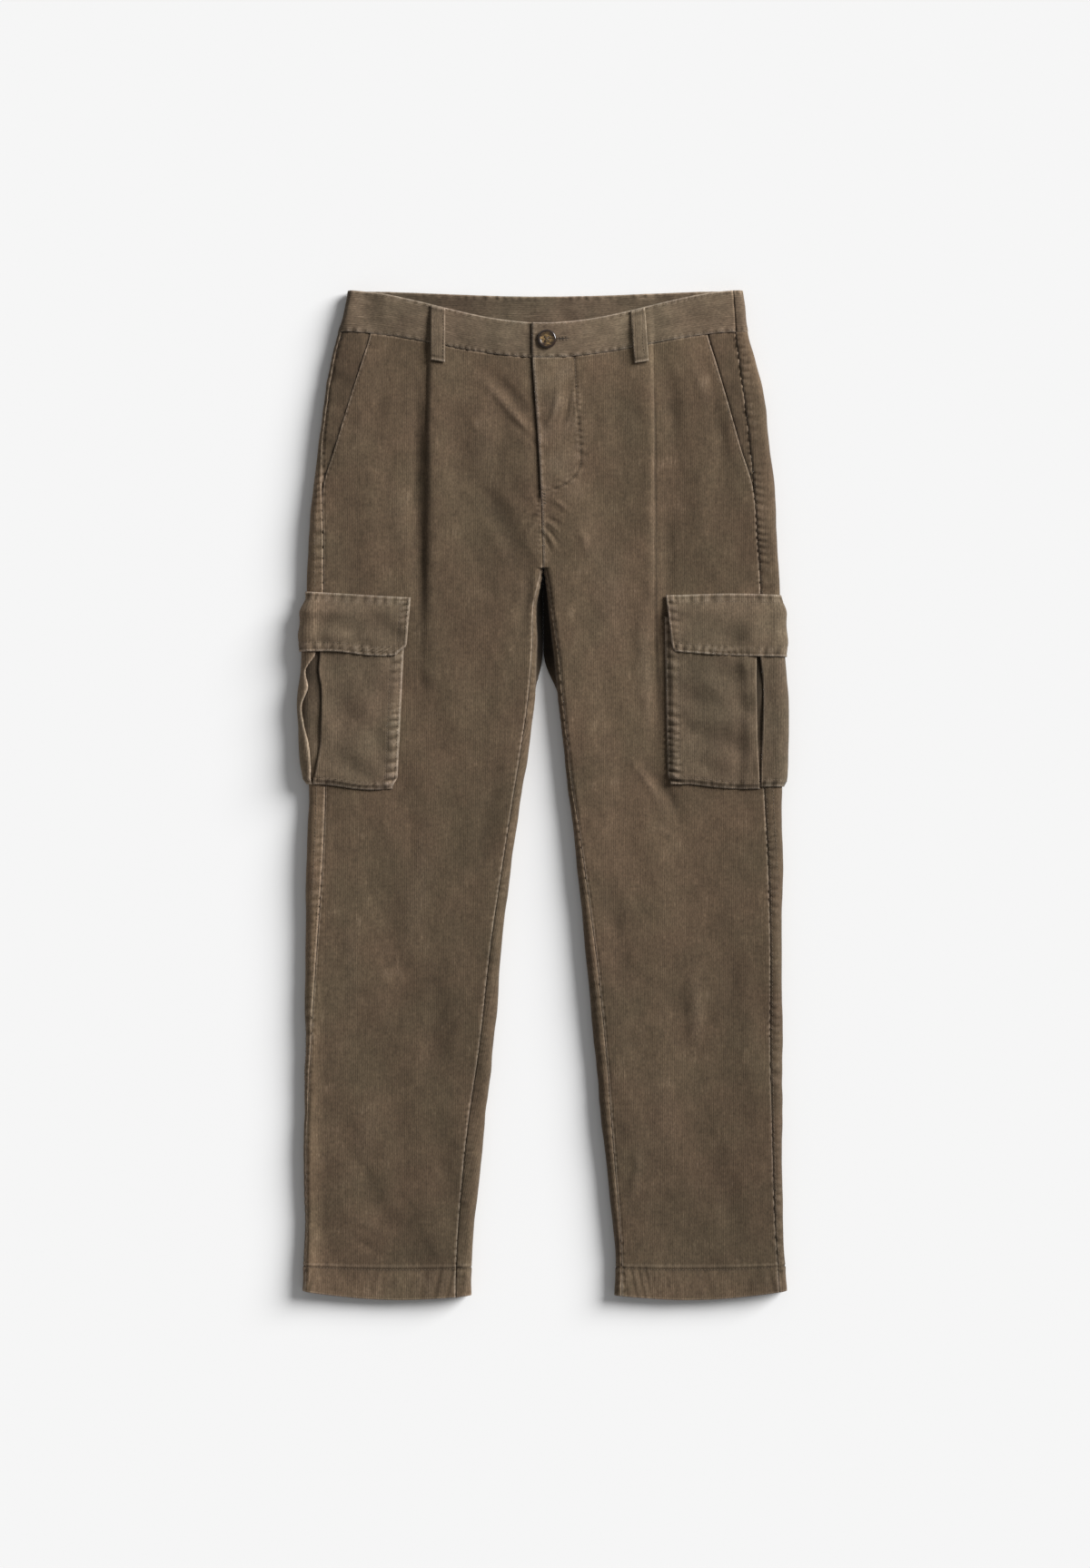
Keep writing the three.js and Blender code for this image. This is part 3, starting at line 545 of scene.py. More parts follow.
def fork_at(station):
    """Share of the bulge that fills the gap below the crotch."""
    return ease(95, 150, station) * ease(CROTCH + 2, CROTCH - 4, station)


def back_place(side, station, walk, lift=0.0):
    """Point on the back: over the outer fold, level below, and up round the inner fold.

    Below the crotch the back is cut wider than the front, so there it bulges into the gap."""
    radius = along(SHARED, "loft", station) / 2
    _, bend, start = curl_shape(side, station)
    curl_walk, _ = back_end(side, station)
    angle = curl_angle(side, station, walk)
    past = np.maximum(curl_walk - walk - math.pi * bend, 0)
    reach = start - bend * np.sin(angle) + past
    height = np.minimum(bend * (1 - np.cos(angle)), 2 * radius)
    bulge = fork_at(station) * bell((angle - 0.75) / 0.7)
    curled = finish(side, station, reach, height, (-np.sin(angle), -np.cos(angle)), lift)
    from_centre = side.sign * curled[..., 0]
    from_centre = np.maximum(mix(from_centre, np.minimum(from_centre, FORK_GAP), bulge), FORK_GAP)
    curled[..., 0] = side.sign * from_centre
    straight = place(side, station, np.maximum(walk, curl_walk), lift)
    return np.where((walk < curl_walk)[..., None], curled, straight)


print("back ends at walk", np.round(back_end(left, np.array([0.0]))[1], 1))

# %% [markdown]
# ## Shader nodes as sums
#
# A material here is worked out with ordinary sums and products. This small class wraps a socket of a node
# tree, so that `pile * 0.4 + wear` makes the Math nodes by itself.

# %% Shader maths
class Shade:
    """Number or colour on its way through a material's nodes."""

    def __init__(self, tree, socket):
        self.tree = tree
        self.socket = socket

    def node(self, kind, output=0, inputs=None, **settings):
        """Adds a node, links or sets its inputs, and returns one of its outputs."""
        made = self.tree.nodes.new(kind)
        for key, value in settings.items():
            setattr(made, key, value)
        for key, value in (inputs or {}).items():
            if isinstance(value, Shade):
                self.tree.links.new(value.socket, made.inputs[key])
            else:
                made.inputs[key].default_value = value
        return Shade(self.tree, made.outputs[output])

    def maths(self, operation, *others):
        return self.node("ShaderNodeMath", 0, dict(enumerate((self, *others))), operation=operation)

    def __add__(self, other):
        return self.maths("ADD", other)

    def __sub__(self, other):
        return self.maths("SUBTRACT", other)

    def __mul__(self, other):
        return self.maths("MULTIPLY", other)

    def __truediv__(self, other):
        return self.maths("DIVIDE", other)

    def __rsub__(self, other):
        return (self * -1) + other

    __radd__ = __add__
    __rmul__ = __mul__

    def clamp(self, low=0.0, high=1.0):
        return self.maths("MAXIMUM", low).maths("MINIMUM", high)

    def wave(self, turns):
        """Rises and falls between 0 and 1, once for each turn."""
        return (turns * (2 * math.pi)).maths("COSINE") * 0.5 + 0.5

    def vector(self, x, y, z=0.0):
        return self.node("ShaderNodeCombineXYZ", 0, {0: x, 1: y, 2: z})

    def noise(self, vector, scale, detail=2.0):
        """Noise between about 0 and 1."""
        inputs = {"Vector": vector, "Scale": scale, "Detail": detail}
        return self.node("ShaderNodeTexNoise", 0, inputs)

    def colour_mix(self, share, first, second):
        inputs = {0: share, 6: first, 7: second}
        return self.node("ShaderNodeMix", 2, inputs, data_type="RGBA")

    def ramp(self, low, high):
        """Straight climb from 0 at the low value to 1 at the high one."""
        inputs = {"Value": self, "From Min": low, "From Max": high}
        return self.node("ShaderNodeMapRange", 0, inputs, clamp=True)


def new_material(name):
    """Material with its Principled shader and a start for its sums."""
    material = bpy.data.materials.new(name)
    material.use_nodes = True
    tree = material.node_tree
    shader = tree.nodes["Principled BSDF"]
    return material, shader, Shade(tree, None)


print("shader maths ready")

# %% [markdown]
# ## Corduroy
#
# Corduroy is cut pile in cords, the wales, with bare ground between them. The grid of each piece carries its
# grain: millimetres across the wales, millimetres along them, and wear with painted light. That is high on
# edges and ridges where rubbing has bleached the pile, partly a painted highlight on crease ridges, and
# below zero where creases, grooves, overlaps and the crotch are darkened as painted shade.

# %% Corduroy materials
def tone_by_place(start, spot):
    """Broad uneven tone by place in metres, with painted light and shade along the two outer edges. The
    shins are darkest.
    """
    tree = start.tree
    split = tree.nodes.new("ShaderNodeSeparateXYZ")
    tree.links.new(spot.socket, split.inputs[0])
    x, y, _ = (Shade(tree, output) for output in split.outputs)
    inside_leg = x.ramp(-0.02, 0.03) * (1.0 - x.ramp(0.10, 0.15)) * y.ramp(-0.25, 0.05)
    waist = y.ramp(0.40, 0.50) * x.ramp(-0.20, 0.15)
    shins = 1.0 - y.ramp(-0.45, -0.05)
    hems = 1.0 - y.ramp(-0.500, -0.492)
    # The strip along the left edge lies on the fold turned from the light and is painted paler as painted
    # light; the strip along the right edge faces the light and is painted darker as painted shade.
    painted_light_left_edge = 1.0 - x.ramp(-0.238, -0.226)
    painted_shade_right_edge = x.ramp(0.232, 0.242)
    right_flap = x.ramp(0.11, 0.13) * y.ramp(0.13, 0.15) * (1.0 - y.ramp(0.21, 0.23))
    pale = inside_leg * 0.14 + waist * 0.34 + hems * 0.18 + painted_light_left_edge * 0.55 + right_flap * 0.16
    return 1.0 + pale - shins * 0.13 - painted_shade_right_edge * 0.14


def corduroy(name, tone, blotch=0.54):
    """Corduroy in one tone, with cords, streaks, patches, fuzz, wear, and painted light and shade."""
    material, shader, start = new_material(name)
    tree = material.node_tree
    grain = start.node("ShaderNodeAttribute", 1, attribute_name="grain")
    split = grain.tree.nodes.new("ShaderNodeSeparateXYZ")
    tree.links.new(grain.socket, split.inputs[0])
    across, lengthwise, wear = (Shade(tree, output) for output in split.outputs)
    spot = start.node("ShaderNodeTexCoord", 3)

    wander = start.noise(start.vector(across * 0.02, lengthwise * 0.012), 1.0)
    waver = start.noise(start.vector(across * 0.25, lengthwise * 0.07), 1.0)
    turns = across / WALE + wander * 0.7 + waver * 0.3
    pile = start.wave(turns).maths("POWER", 0.65)
    clear = start.noise(start.vector(across * 0.07, lengthwise * 0.03), 1.0, 2.0).ramp(0.3, 0.7)
    streak = start.noise(start.vector(turns * 1.1, lengthwise * 0.05), 1.0, 4.0)
    broken = start.noise(start.vector(turns * 2.0, lengthwise * 0.30), 1.0, 3.0)
    fuzz = start.noise(start.vector(across * 3.0, lengthwise * 2.4), 1.0, 2.0)
    patch = start.noise(spot, 9.0, 3.0)
    cloud = start.noise(spot, 45.0, 5.0)
    mottle = start.noise(spot, 170.0, 3.0)

    light = 1.0 - (1.0 - pile) * (0.08 + clear * 0.18)
    light = light * (0.60 + streak * 0.80) * (0.36 + broken * 1.28) * (0.48 + fuzz * 1.04)
    light = light * (0.80 + patch * 0.40) * (1.0 - blotch / 2 + cloud * blotch) * tone_by_place(start, spot)
    # Below zero the wear channel darkens the cloth: painted shade in creases, grooves, overlaps, recesses
    # and the crotch.
    light = light * (1.0 - blotch / 2 + mottle * blotch) * (1.0 + wear.maths("MINIMUM", 0.0) * 0.95)
    scuff = (streak * 0.55 + cloud * 0.9 - 0.86).clamp() * 1.6
    # Above zero it pales the pile: wear on edges and pads, partly a painted highlight on crease ridges and
    # the fly's edge.
    rub_and_painted_highlight = (wear * (0.35 + streak * 0.5 + broken * 0.5 + pile * 0.2)).maths("MAXIMUM", 0.0)
    worn_and_painted_light = (rub_and_painted_highlight + scuff).clamp(0.0, 1.2)
    brightness = light * (1.0 + worn_and_painted_light * 1.0)
    deep = (*tone, 1.0)
    pale = tuple(mix(channel, max(tone), 0.22) for channel in tone) + (1.0,)
    base = start.colour_mix(worn_and_painted_light.clamp(), deep, pale)
    hue = start.noise(spot, 16.0, 3.0).ramp(0.35, 0.65) - 0.5
    red, green = brightness * (0.995 + hue * 0.05), brightness * (1.005 - hue * 0.02)
    tint = {0: base, 1: start.vector(red, green, brightness)}
    colour = start.node("ShaderNodeVectorMath", 0, tint, operation="MULTIPLY")
    height = pile * 0.6 + fuzz * 0.25 + broken * 0.15
    bump = start.node("ShaderNodeBump", 0, {"Strength": 0.32, "Distance": 0.4 * MM, "Height": height})
    tree.links.new(colour.socket, shader.inputs["Base Color"])
    tree.links.new((0.86 + fuzz * 0.12).socket, shader.inputs["Roughness"])
    tree.links.new(bump.socket, shader.inputs["Normal"])
    shader.inputs["Sheen Weight"].default_value = 0.10
    shader.inputs["Sheen Roughness"].default_value = 0.5
    shader.inputs["Specular IOR Level"].default_value = 0.15
    return material


BODY_TONE = (0.111, 0.076, 0.047)
POCKET_TONE = (0.118, 0.084, 0.054)
BAND_TONE = (0.127, 0.091, 0.060)
body_cord = corduroy("corduroy_body", BODY_TONE)
pocket_cord = corduroy("corduroy_pocket", POCKET_TONE, 0.45)
band_cord = corduroy("corduroy_band", BAND_TONE, 0.6)
print("materials:", body_cord.name, pocket_cord.name, band_cord.name)

# %% [markdown]
# ## Sewing thread, zip tape and horn
#
# The thread is a twisted cotton, close to the cloth in tone. The zip's tape is a plain weave. The button is
# an imitation of horn: dark brown with amber clouds, polished. Pictures could be laid on them, but such
# small things need only noise and two tones.

# %% Small materials
def thread_material():
    """Cotton thread with a fine twist."""
    material, shader, start = new_material("thread")
    spot = start.node("ShaderNodeTexCoord", 3)
    twist = start.noise(spot, 900.0, 2.0)
    shade = twist.ramp(0.3, 0.7)
    colour = start.colour_mix(shade, (0.098, 0.070, 0.045, 1), (0.160, 0.117, 0.079, 1))
    bump = start.node("ShaderNodeBump", 0, {"Strength": 0.4, "Distance": 0.1 * MM, "Height": twist})
    material.node_tree.links.new(colour.socket, shader.inputs["Base Color"])
    material.node_tree.links.new(bump.socket, shader.inputs["Normal"])
    shader.inputs["Roughness"].default_value = 0.7
    return material


def tape_material():
    """Plain weave of the zip's tape."""
    material, shader, start = new_material("zip_tape_weave")
    tree = material.node_tree
    spot = start.node("ShaderNodeTexCoord", 3)
    split = tree.nodes.new("ShaderNodeSeparateXYZ")
    tree.links.new(spot.socket, split.inputs[0])
    x, y, _ = (Shade(tree, output) for output in split.outputs)
    weave = start.wave(x * 1200) * start.wave(y * 1200)
    colour = start.colour_mix(weave, (0.03, 0.022, 0.016, 1), (0.09, 0.068, 0.05, 1))
    bump = start.node("ShaderNodeBump", 0, {"Strength": 0.5, "Distance": 0.2 * MM, "Height": weave})
    tree.links.new(colour.socket, shader.inputs["Base Color"])
    tree.links.new(bump.socket, shader.inputs["Normal"])
    shader.inputs["Roughness"].default_value = 0.8
    return material


def horn_material(centre):
    """Polished horn: dark at the rim, with amber streaks across the middle."""
    material, shader, start = new_material("horn_button")
    tree = material.node_tree
    spot = start.node("ShaderNodeTexCoord", 3)
    split = tree.nodes.new("ShaderNodeSeparateXYZ")
    tree.links.new(spot.socket, split.inputs[0])
    x, y, _ = (Shade(tree, output) for output in split.outputs)
    x, y = x - centre[0] * MM, y - centre[1] * MM
    radius = (x * x + y * y).maths("SQRT")
    cloud = start.noise(start.vector(x * 160, y * 420), 1.0, 3.0).ramp(0.38, 0.62)
    grain = start.noise(spot, 700.0, 3.0)
    amber = (cloud * (0.6 + grain * 0.7) * (1.0 - radius.ramp(0.0056, 0.0080))).clamp()
    colour = start.colour_mix(amber, (0.022, 0.011, 0.006, 1), (0.30, 0.19, 0.075, 1))
    tree.links.new(colour.socket, shader.inputs["Base Color"])
    tree.links.new((0.14 + grain * 0.16).socket, shader.inputs["Roughness"])
    shader.inputs["Coat Weight"].default_value = 0.6
    shader.inputs["Coat Roughness"].default_value = 0.08
    return material


thread = thread_material()
tape = tape_material()
print("materials:", thread.name, tape.name)

# %% [markdown]
# ## From a layer of cloth to a mesh
#
# A layer knows where it lies and how its surface is worked by sewing. `sew` lays a grid over it, moves each
# point to its place, stores the grain, and thickens the grid inwards with a Solidify modifier, as real cloth
# has a face and a back. A cloth simulation could find folds too, but not the very ones of the photograph.

# %% Layer and grid
def plain(station, walk):
    """Surface detail of a cloth with no sewing: no height and no wear."""
    return 0 * walk, 0 * walk


class Layer:
    """Layer of cloth on one side of the garment."""

    def __init__(self, side, lift=0.0, detail=plain, placing=place):
        self.side = side
        self.lift = lift
        self.detail = detail
        self.placing = placing

    def at(self, station, walk, above=0.0):
        """Points of the layer in millimetres, and its wear and painted light there."""
        station, walk = np.broadcast_arrays(np.asarray(station, float), np.asarray(walk, float))
        base = self.lift(station, walk) if callable(self.lift) else self.lift
        height, wear = self.detail(station, walk)
        return self.placing(self.side, station, walk, base + height + above), wear


def outward(points):
    """Direction that a grid of points faces, as the grid's own order has it."""
    across = np.gradient(points, axis=1)
    down = np.gradient(points, axis=0)
    return np.cross(across, down)


def grid_mesh(name, points, above, grain):
    """Mesh of one grid of points, turned so that it faces the points above it."""
    if np.sum(outward(points) * (above - points)) < 0:
        points, grain = points[:, ::-1], grain[:, ::-1]
    rows, columns = points.shape[:2]
    made = bmesh.new()
    bmesh.ops.create_grid(made, x_segments=columns - 1, y_segments=rows - 1, size=0.5)
    mesh = bpy.data.meshes.new(name)
    made.to_mesh(mesh)
    made.free()
    flat = np.empty(len(mesh.vertices) * 3, dtype=np.float32)
    mesh.vertices.foreach_get("co", flat)
    flat = flat.reshape(-1, 3)
    share = (flat - flat.min(axis=0))[:, :2] / (flat.max(axis=0) - flat.min(axis=0))[:2]
    column = np.rint(share[:, 0] * (columns - 1)).astype(int)
    row = np.rint(share[:, 1] * (rows - 1)).astype(int)
    mesh.vertices.foreach_set("co", (points[row, column] * MM).astype(np.float32).ravel())
    store = mesh.attributes.new("grain", "FLOAT_VECTOR", "POINT")
    store.data.foreach_set("vector", grain[row, column].astype(np.float32).ravel())
    mesh.polygons.foreach_set("use_smooth", [True] * len(mesh.polygons))
    mesh.update()
    return mesh, row


def piece(name, mesh, node=None):
    """Object of a mesh, riding on the body, standing for a node of the frame."""
    made = bpy.data.objects.new(name, mesh)
    bpy.context.scene.collection.objects.link(made)
    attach(made, "root")
    if node:
        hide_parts(node)
    return made


triangles = {}
GRAIN_LINE = 120


def sew(name, layer, stations, walks, material, thickness=CLOTH, upright=True, hem=False):
    """Cloth piece over the given stations and walks, thickened into a shell."""
    stations = np.asarray(stations, float)
    if stations.ndim == 1:
        stations = stations[:, None] + 0 * walks
    points, wear = layer.at(stations, walks)
    above, _ = layer.at(stations, walks, 1.0)
    middle = walk_at(layer.side, stations, GRAIN_LINE)
    lengthwise = stations if upright else walks
    across = walks - middle if upright else stations
    grain = np.stack([across, lengthwise, wear], axis=-1)
    mesh, row = grid_mesh(name, points, above, grain)
    mesh.materials.append(material)
    made = piece(name, mesh, node=name.replace("cloth_", ""))
    shell = made.modifiers.new("thickness", "SOLIDIFY")
    shell.thickness = (HEM_CLOTH if hem else thickness) * MM
    shell.offset = -1
    if hem:
        thick = made.vertex_groups.new(name="thickness")
        heights = stations[:, 0]
        for index, height in enumerate(heights):
            share = mix(thickness / HEM_CLOTH, 1.0, float(ease(HEM_TOP + 2, HEM_TOP - 1, height)))
            thick.add(np.flatnonzero(row == index).tolist(), share, "REPLACE")
        shell.vertex_group = "thickness"
    widths = np.abs(walks[:, -1] - walks[:, 0])
    heights = stations[:, 0]
    cut = (widths.max() * MM, abs(heights[0] - heights[-1]) * MM)
    triangles[name] = 4 * len(mesh.polygons)
    return made


print("grid builder ready")

# %% [markdown]
# ## Stitched edges
#
# Where a seam is topstitched, the cloth is pulled into a ladder of small ridges, with a groove under each
# row of stitches, and the ridges and the very edge wear pale; the troughs between the ridges and a line
# beside the edge are darkened as painted shade. It could be a bump in the material; the points are moved
# instead, so that the edges also look puckered from the side.

# %% Stitched edge
def edge_work(distance, run, seed, rows=(2.5, 9.5), size=0.34, pitch=8.5, wear=1.0, lip=2.3):
    """Height, and wear with painted shade, near a stitched edge: distance from it, and how far along it."""
    reach = max(rows) + 4
    window = bell(np.maximum(distance - max(rows) * 0.6, 0) / (reach - max(rows) * 0.6)) * (distance >= 0)
    ridge = ladder(run + 0.2 * distance, pitch, seed)
    height = size * ridge * window - 0.4 * (1 - ease(0, 1.6, distance))
    for row in rows:
        height = height - 0.42 * bell((distance - row) / 1.4)
    # The pale very edge and pad crests are wear; the troughs between pads and a line beside the lip are
    # darkened as painted shade.
    rubbed_and_painted_shade = 1.1 * bell(distance / lip) + np.where(ridge > 0, 0.55, 0.50) * ridge * window
    rubbed_and_painted_shade = rubbed_and_painted_shade - 0.3 * bell((distance - lip - 0.4) / 1.2)
    return height, wear * np.clip(rubbed_and_painted_shade, -0.5, 1.2)


def together(*works):
    """Sum of several pieces of surface work."""
    return sum(work[0] for work in works), np.clip(sum(work[1] for work in works), -1, 1.3)


print("edge wear at the very edge:", float(edge_work(np.array([0.0]), np.array([0.0]), 1)[1][0]))

# %% [markdown]
# ## Stitches
#
# Topstitching is a row of short beads of thread that sink into the cloth. One mesh holds them all, because
# thousands of separate objects would be slow, and each bead only needs a few faces.

# %% Stitches
STITCH_PITCH = 3.3
STITCH_LONG = 2.5
STITCH_WIDE = 0.6
STITCH_HIGH = 0.48
PATH_POINTS = 400
stitch_places = []


def at_distance(values, gone, where):
    """Points of a path at the given distances along it."""
    return np.stack([np.interp(where, gone, values[:, axis]) for axis in range(3)], axis=-1)


def stitch(layer, stations, walks, above=0.12):
    """Row of stitches along a path over a layer."""
    if len(stations) == 2:
        stations = np.linspace(stations[0], stations[-1], PATH_POINTS)
    walks = np.interp(np.linspace(0, 1, len(stations)), np.linspace(0, 1, len(walks)), walks)
    points, _ = layer.at(stations, walks, above)
    raised, _ = layer.at(stations, walks, above + 1)
    points[:, 2] = np.maximum(points[:, 2], STITCH_WIDE / 2)
    gone = np.concatenate([[0], np.cumsum(np.linalg.norm(np.diff(points, axis=0), axis=1))])
    stops = np.arange(STITCH_PITCH / 2, gone[-1], STITCH_PITCH)
    middle = at_distance(points, gone, stops)
    before, after = (at_distance(points, gone, stops + step) for step in (-STITCH_WIDE, STITCH_WIDE))
    direction = after - before
    facing = at_distance(raised, gone, stops) - middle
    stitch_places.append((middle, direction, facing))


def stitch_mesh(name):
    """One mesh of all the stitches: small beads, each turned along its row."""
    bead = bmesh.new()
    bmesh.ops.create_uvsphere(bead, u_segments=5, v_segments=4, radius=0.5)
    corners = np.array([vertex.co[:] for vertex in bead.verts])
    faces = [[vertex.index for vertex in face.verts] for face in bead.faces]
    bead.free()
    middle, direction, facing = (np.concatenate(parts) for parts in zip(*stitch_places))
    direction = direction / np.linalg.norm(direction, axis=1, keepdims=True)
    beside = np.cross(facing, direction)
    beside = beside / np.linalg.norm(beside, axis=1, keepdims=True)
    upward = np.cross(direction, beside)
    sizes = corners * np.array([STITCH_WIDE, STITCH_HIGH, STITCH_LONG])
    spots = middle[:, None, :]
    for axis, way in enumerate((beside, upward, direction)):
        spots = spots + sizes[None, :, axis, None] * way[:, None, :]
    all_faces = []
    for number in range(len(middle)):
        first = len(corners) * number
        all_faces += [[first + index for index in face] for face in faces]
    mesh = bpy.data.meshes.new(name)
    mesh.from_pydata((spots.reshape(-1, 3) * MM).tolist(), [], all_faces)
    mesh.polygons.foreach_set("use_smooth", [True] * len(mesh.polygons))
    mesh.materials.append(thread)
    mesh.update()
    return mesh


print("stitches are", STITCH_LONG, "mm long")

# %% [markdown]
# ## Legs and hips
#
# Four panels make the body: two fronts, and two backs that are carried round both folds to the seams that
# show on the front. Rows are close together at the crotch, where one tube becomes two.

# %% Rows and columns of the panels
PANEL_ROWS = np.concatenate([
    np.arange(WAIST_SEAM - SEAM_GAP / 2, 340, -2.7),
    np.arange(340, CROTCH + 8, -1.5),
    np.arange(CROTCH + 8, CROTCH - 6, -0.9),
    np.arange(CROTCH - 6, HEM_TOP + 7, -2.7),
    np.arange(HEM_TOP + 6, HEM_TOP - 6, -0.8),
    np.arange(HEM_TOP - 6, HEM_EDGE + 3, -2.5),
    [HEM_EDGE + 2.2, HEM_EDGE + 1, HEM_EDGE],
])
EDGE_SHARES = np.array([0, 0.012, 0.025, 0.04, 0.055, 0.072, 0.09, 0.11, 0.135])
MIDDLE_SHARES = np.linspace(0.17, 0.94, 17)
HALF_SHARES = np.concatenate([EDGE_SHARES, MIDDLE_SHARES, [0.97, 0.985]])
FLY_SHARES = np.concatenate([
    [0, 0.012, 0.025, 0.04], np.linspace(0.053, 0.41, 28), np.linspace(0.44, 0.97, 14),
])


def front_end(side, station):
    """Distance from the centre line at which the front ends: at the fly or the inside leg seam."""
    fly = -side.sign * along(FLY_LINE, "reach", station) + SEAM_GAP / 2
    return np.where(curl(station) >= 0.99, along(side.outline, "inseam", station), fly)


def inner_walk(side, station, reach):
    """Walk to a place on the top or on the inner fold."""
    radius = along(SHARED, "loft", station) / 2
    inner = along(side.outline, "inner", station)
    outer = along(side.outline, "outer", station)
    flat = outer - inner - 2 * radius
    turned = np.arcsin(np.clip((inner + radius - reach) / radius, 0, 1))
    folded = radius * math.pi / 2 + flat + radius * turned
    level = (curl(station) < 0.99) | (reach > inner + radius)
    return np.where(level, walk_at(side, station, reach), folded)


def front_edges(side, station):
    """Walks of the front's outer edge, the foot and the crest of its pleat, and its inner edge."""
    pleat = pleat_at(side, station)
    step = along(SHARED, "step", station)
    start = walk_at(side, station, along(side.outline, "slash", station)) + SEAM_GAP / 2
    foot = walk_at(side, station, pleat + step / 2)
    crest = walk_at(side, station, pleat - step / 2)
    return start, foot, crest, inner_walk(side, station, front_end(side, station))


def front_walks(side):
    """Walks of all columns of a front, row by row, closest at its edges, pleat and fly."""
    start, foot, crest, end = (edge[:, None] for edge in front_edges(side, PANEL_ROWS))
    outer = mix(start, foot, HALF_SHARES[None, :])
    pleat = mix(foot, crest, np.array([[0, 0.33, 0.67]]))
    inner = mix(crest, end, (1 - FLY_SHARES[::-1])[None, :])
    return np.concatenate([outer, pleat, inner], axis=1)


FLY_WIDTH = 44
FLY_FOOT = 317
FLY_BEND = 35


def fly_stitch_distance(station, walk_from_edge):
    """Distance from the J-shaped row of stitches beside the fly."""
    below = np.maximum(FLY_FOOT + FLY_BEND - station, 0) * FLY_WIDTH / FLY_BEND
    return np.abs(np.hypot(walk_from_edge, below) - FLY_WIDTH)


# Share of the creases' height that tints the cloth: troughs darker as painted shade, ridges paler as painted
# highlight.
CREASE_PAINTED_LIGHT = 0.11
FLY_FADE = 14


def lap_work(station, from_inner):
    """Right front at the fly: a raised edge, pale with wear and a painted highlight, the J-shaped row of
    stitches with its groove darkened as painted shade, and its faded pads.
    """
    height, wear = edge_work(from_inner, station, 9, rows=(2.4,), size=0.2, pitch=10)
    j_row = fly_stitch_distance(station, from_inner)
    pads = ladder(station + 0.4 * from_inner, 9, 2) * bell(j_row / 9)
    shown = ease(FLY_FOOT - FLY_FADE, FLY_FOOT, station)
    groove = 0.45 * pads - 0.7 * bell(j_row / 1.7)
    overlap = 1.5 * (1 - ease(0, 26, from_inner)) + 0.8 * bell((from_inner - 18) / 16)
    edge = 0.7 * bell((from_inner - 2.4) / 2.6)
    tone_by_place = 0.16 + 0.10 * uneven(station, from_inner, 26, 4)
    faded = ease(FLY_WIDTH + 4, FLY_WIDTH - 4, from_inner) * tone_by_place
    # The J-row's groove and the pucker troughs are darkened as painted shade; the fly's raised edge is
    # painted pale as a painted highlight, with wear.
    rubbed_and_painted_shade = 0.45 * pads + faded - 0.55 * bell(j_row / 2.2)
    edge_wear_and_painted_highlight = 0.6 * bell((from_inner - 2) / 3)
    return height + shown * (overlap + groove) + edge, wear + shown * rubbed_and_painted_shade + edge_wear_and_painted_highlight


def lapped_work(station, from_inner):
    """Left front at the fly: it dips under the right one and is darkened there as painted shade, and is
    puckered below the fly.
    """
    shown = ease(FLY_FOOT - FLY_FADE, FLY_FOOT, station)
    pads = ladder(station, 6, 8) * bell((from_inner - 3) / 4) * (1 - shown)
    height = 0.4 * pads - 0.9 * shown * (1 - ease(0, 14, from_inner))
    # Where it dips under the right front, and in the troughs of its puckers, the cloth is darkened as
    # painted shade.
    return height, 0.3 * pads - 0.4 * shown * bell(from_inner / 7)


def front_detail(side):
    """Surface work of a front: its edges, fly, hem, pleat, and creases that tint the cloth as painted light
    and shade.
    """
    def detail(station, walk):
        start, _, _, end = front_edges(side, station)
        from_outer = walk - start
        from_inner = end - walk
        above_crotch = ease(CROTCH - 2, CROTCH + 6, station)
        outer = edge_work(from_outer, station, 3 + side.sign, rows=(1.6,), size=0.30, pitch=7.5, wear=0.8)
        slash = ease(330, 345, station)
        double = edge_work(from_outer, station, 5 + side.sign, rows=(2.0,), size=0.35, pitch=9, wear=0.8)
        outer = (mix(outer[0], double[0], slash), mix(outer[1], double[1], slash))
        inner = edge_work(from_inner, station, 7 + side.sign, rows=(1.6,), size=0.24, pitch=7)
        fly = (lap_work if side is right else lapped_work)(station, from_inner)
        inner = (mix(inner[0], fly[0], above_crotch), mix(inner[1], fly[1], above_crotch))
        hem = hem_work(side, station, walk)
        top = edge_work(WAIST_SEAM - station, walk, 2, rows=(1.5,), size=0.3, pitch=9, wear=0.4)
        crest = 0.4 * bell((walk - walk_at(side, station, pleat_at(side, station) - 2)) / 2.5)
        crest = crest * ease(150, 320, station) * ease(WAIST_SEAM, 470, station)
        # At the foot of the right pleat's step the cloth is darkened as painted shade.
        foot = 0.55 * bell((walk - walk_at(side, station, pleat_at(side, station) + 1.5)) / 2.2)
        foot = foot * ease(70, 170, station) * ease(450, 400, station) * (side.sign > 0)
        radius = along(SHARED, "loft", station) / 2
        reach = along(side.outline, "outer", station) - radius - (walk - quarter_at(station))
        # The creases tint the cloth as painted light: darker in the troughs, paler on the ridges.
        worn_and_painted_light = CREASE_PAINTED_LIGHT * creases(side.sign * reach, station)
        return together(outer, inner, hem, top, (0 * walk, crest - foot + np.clip(worn_and_painted_light, -0.30, 0.3)))
    return detail


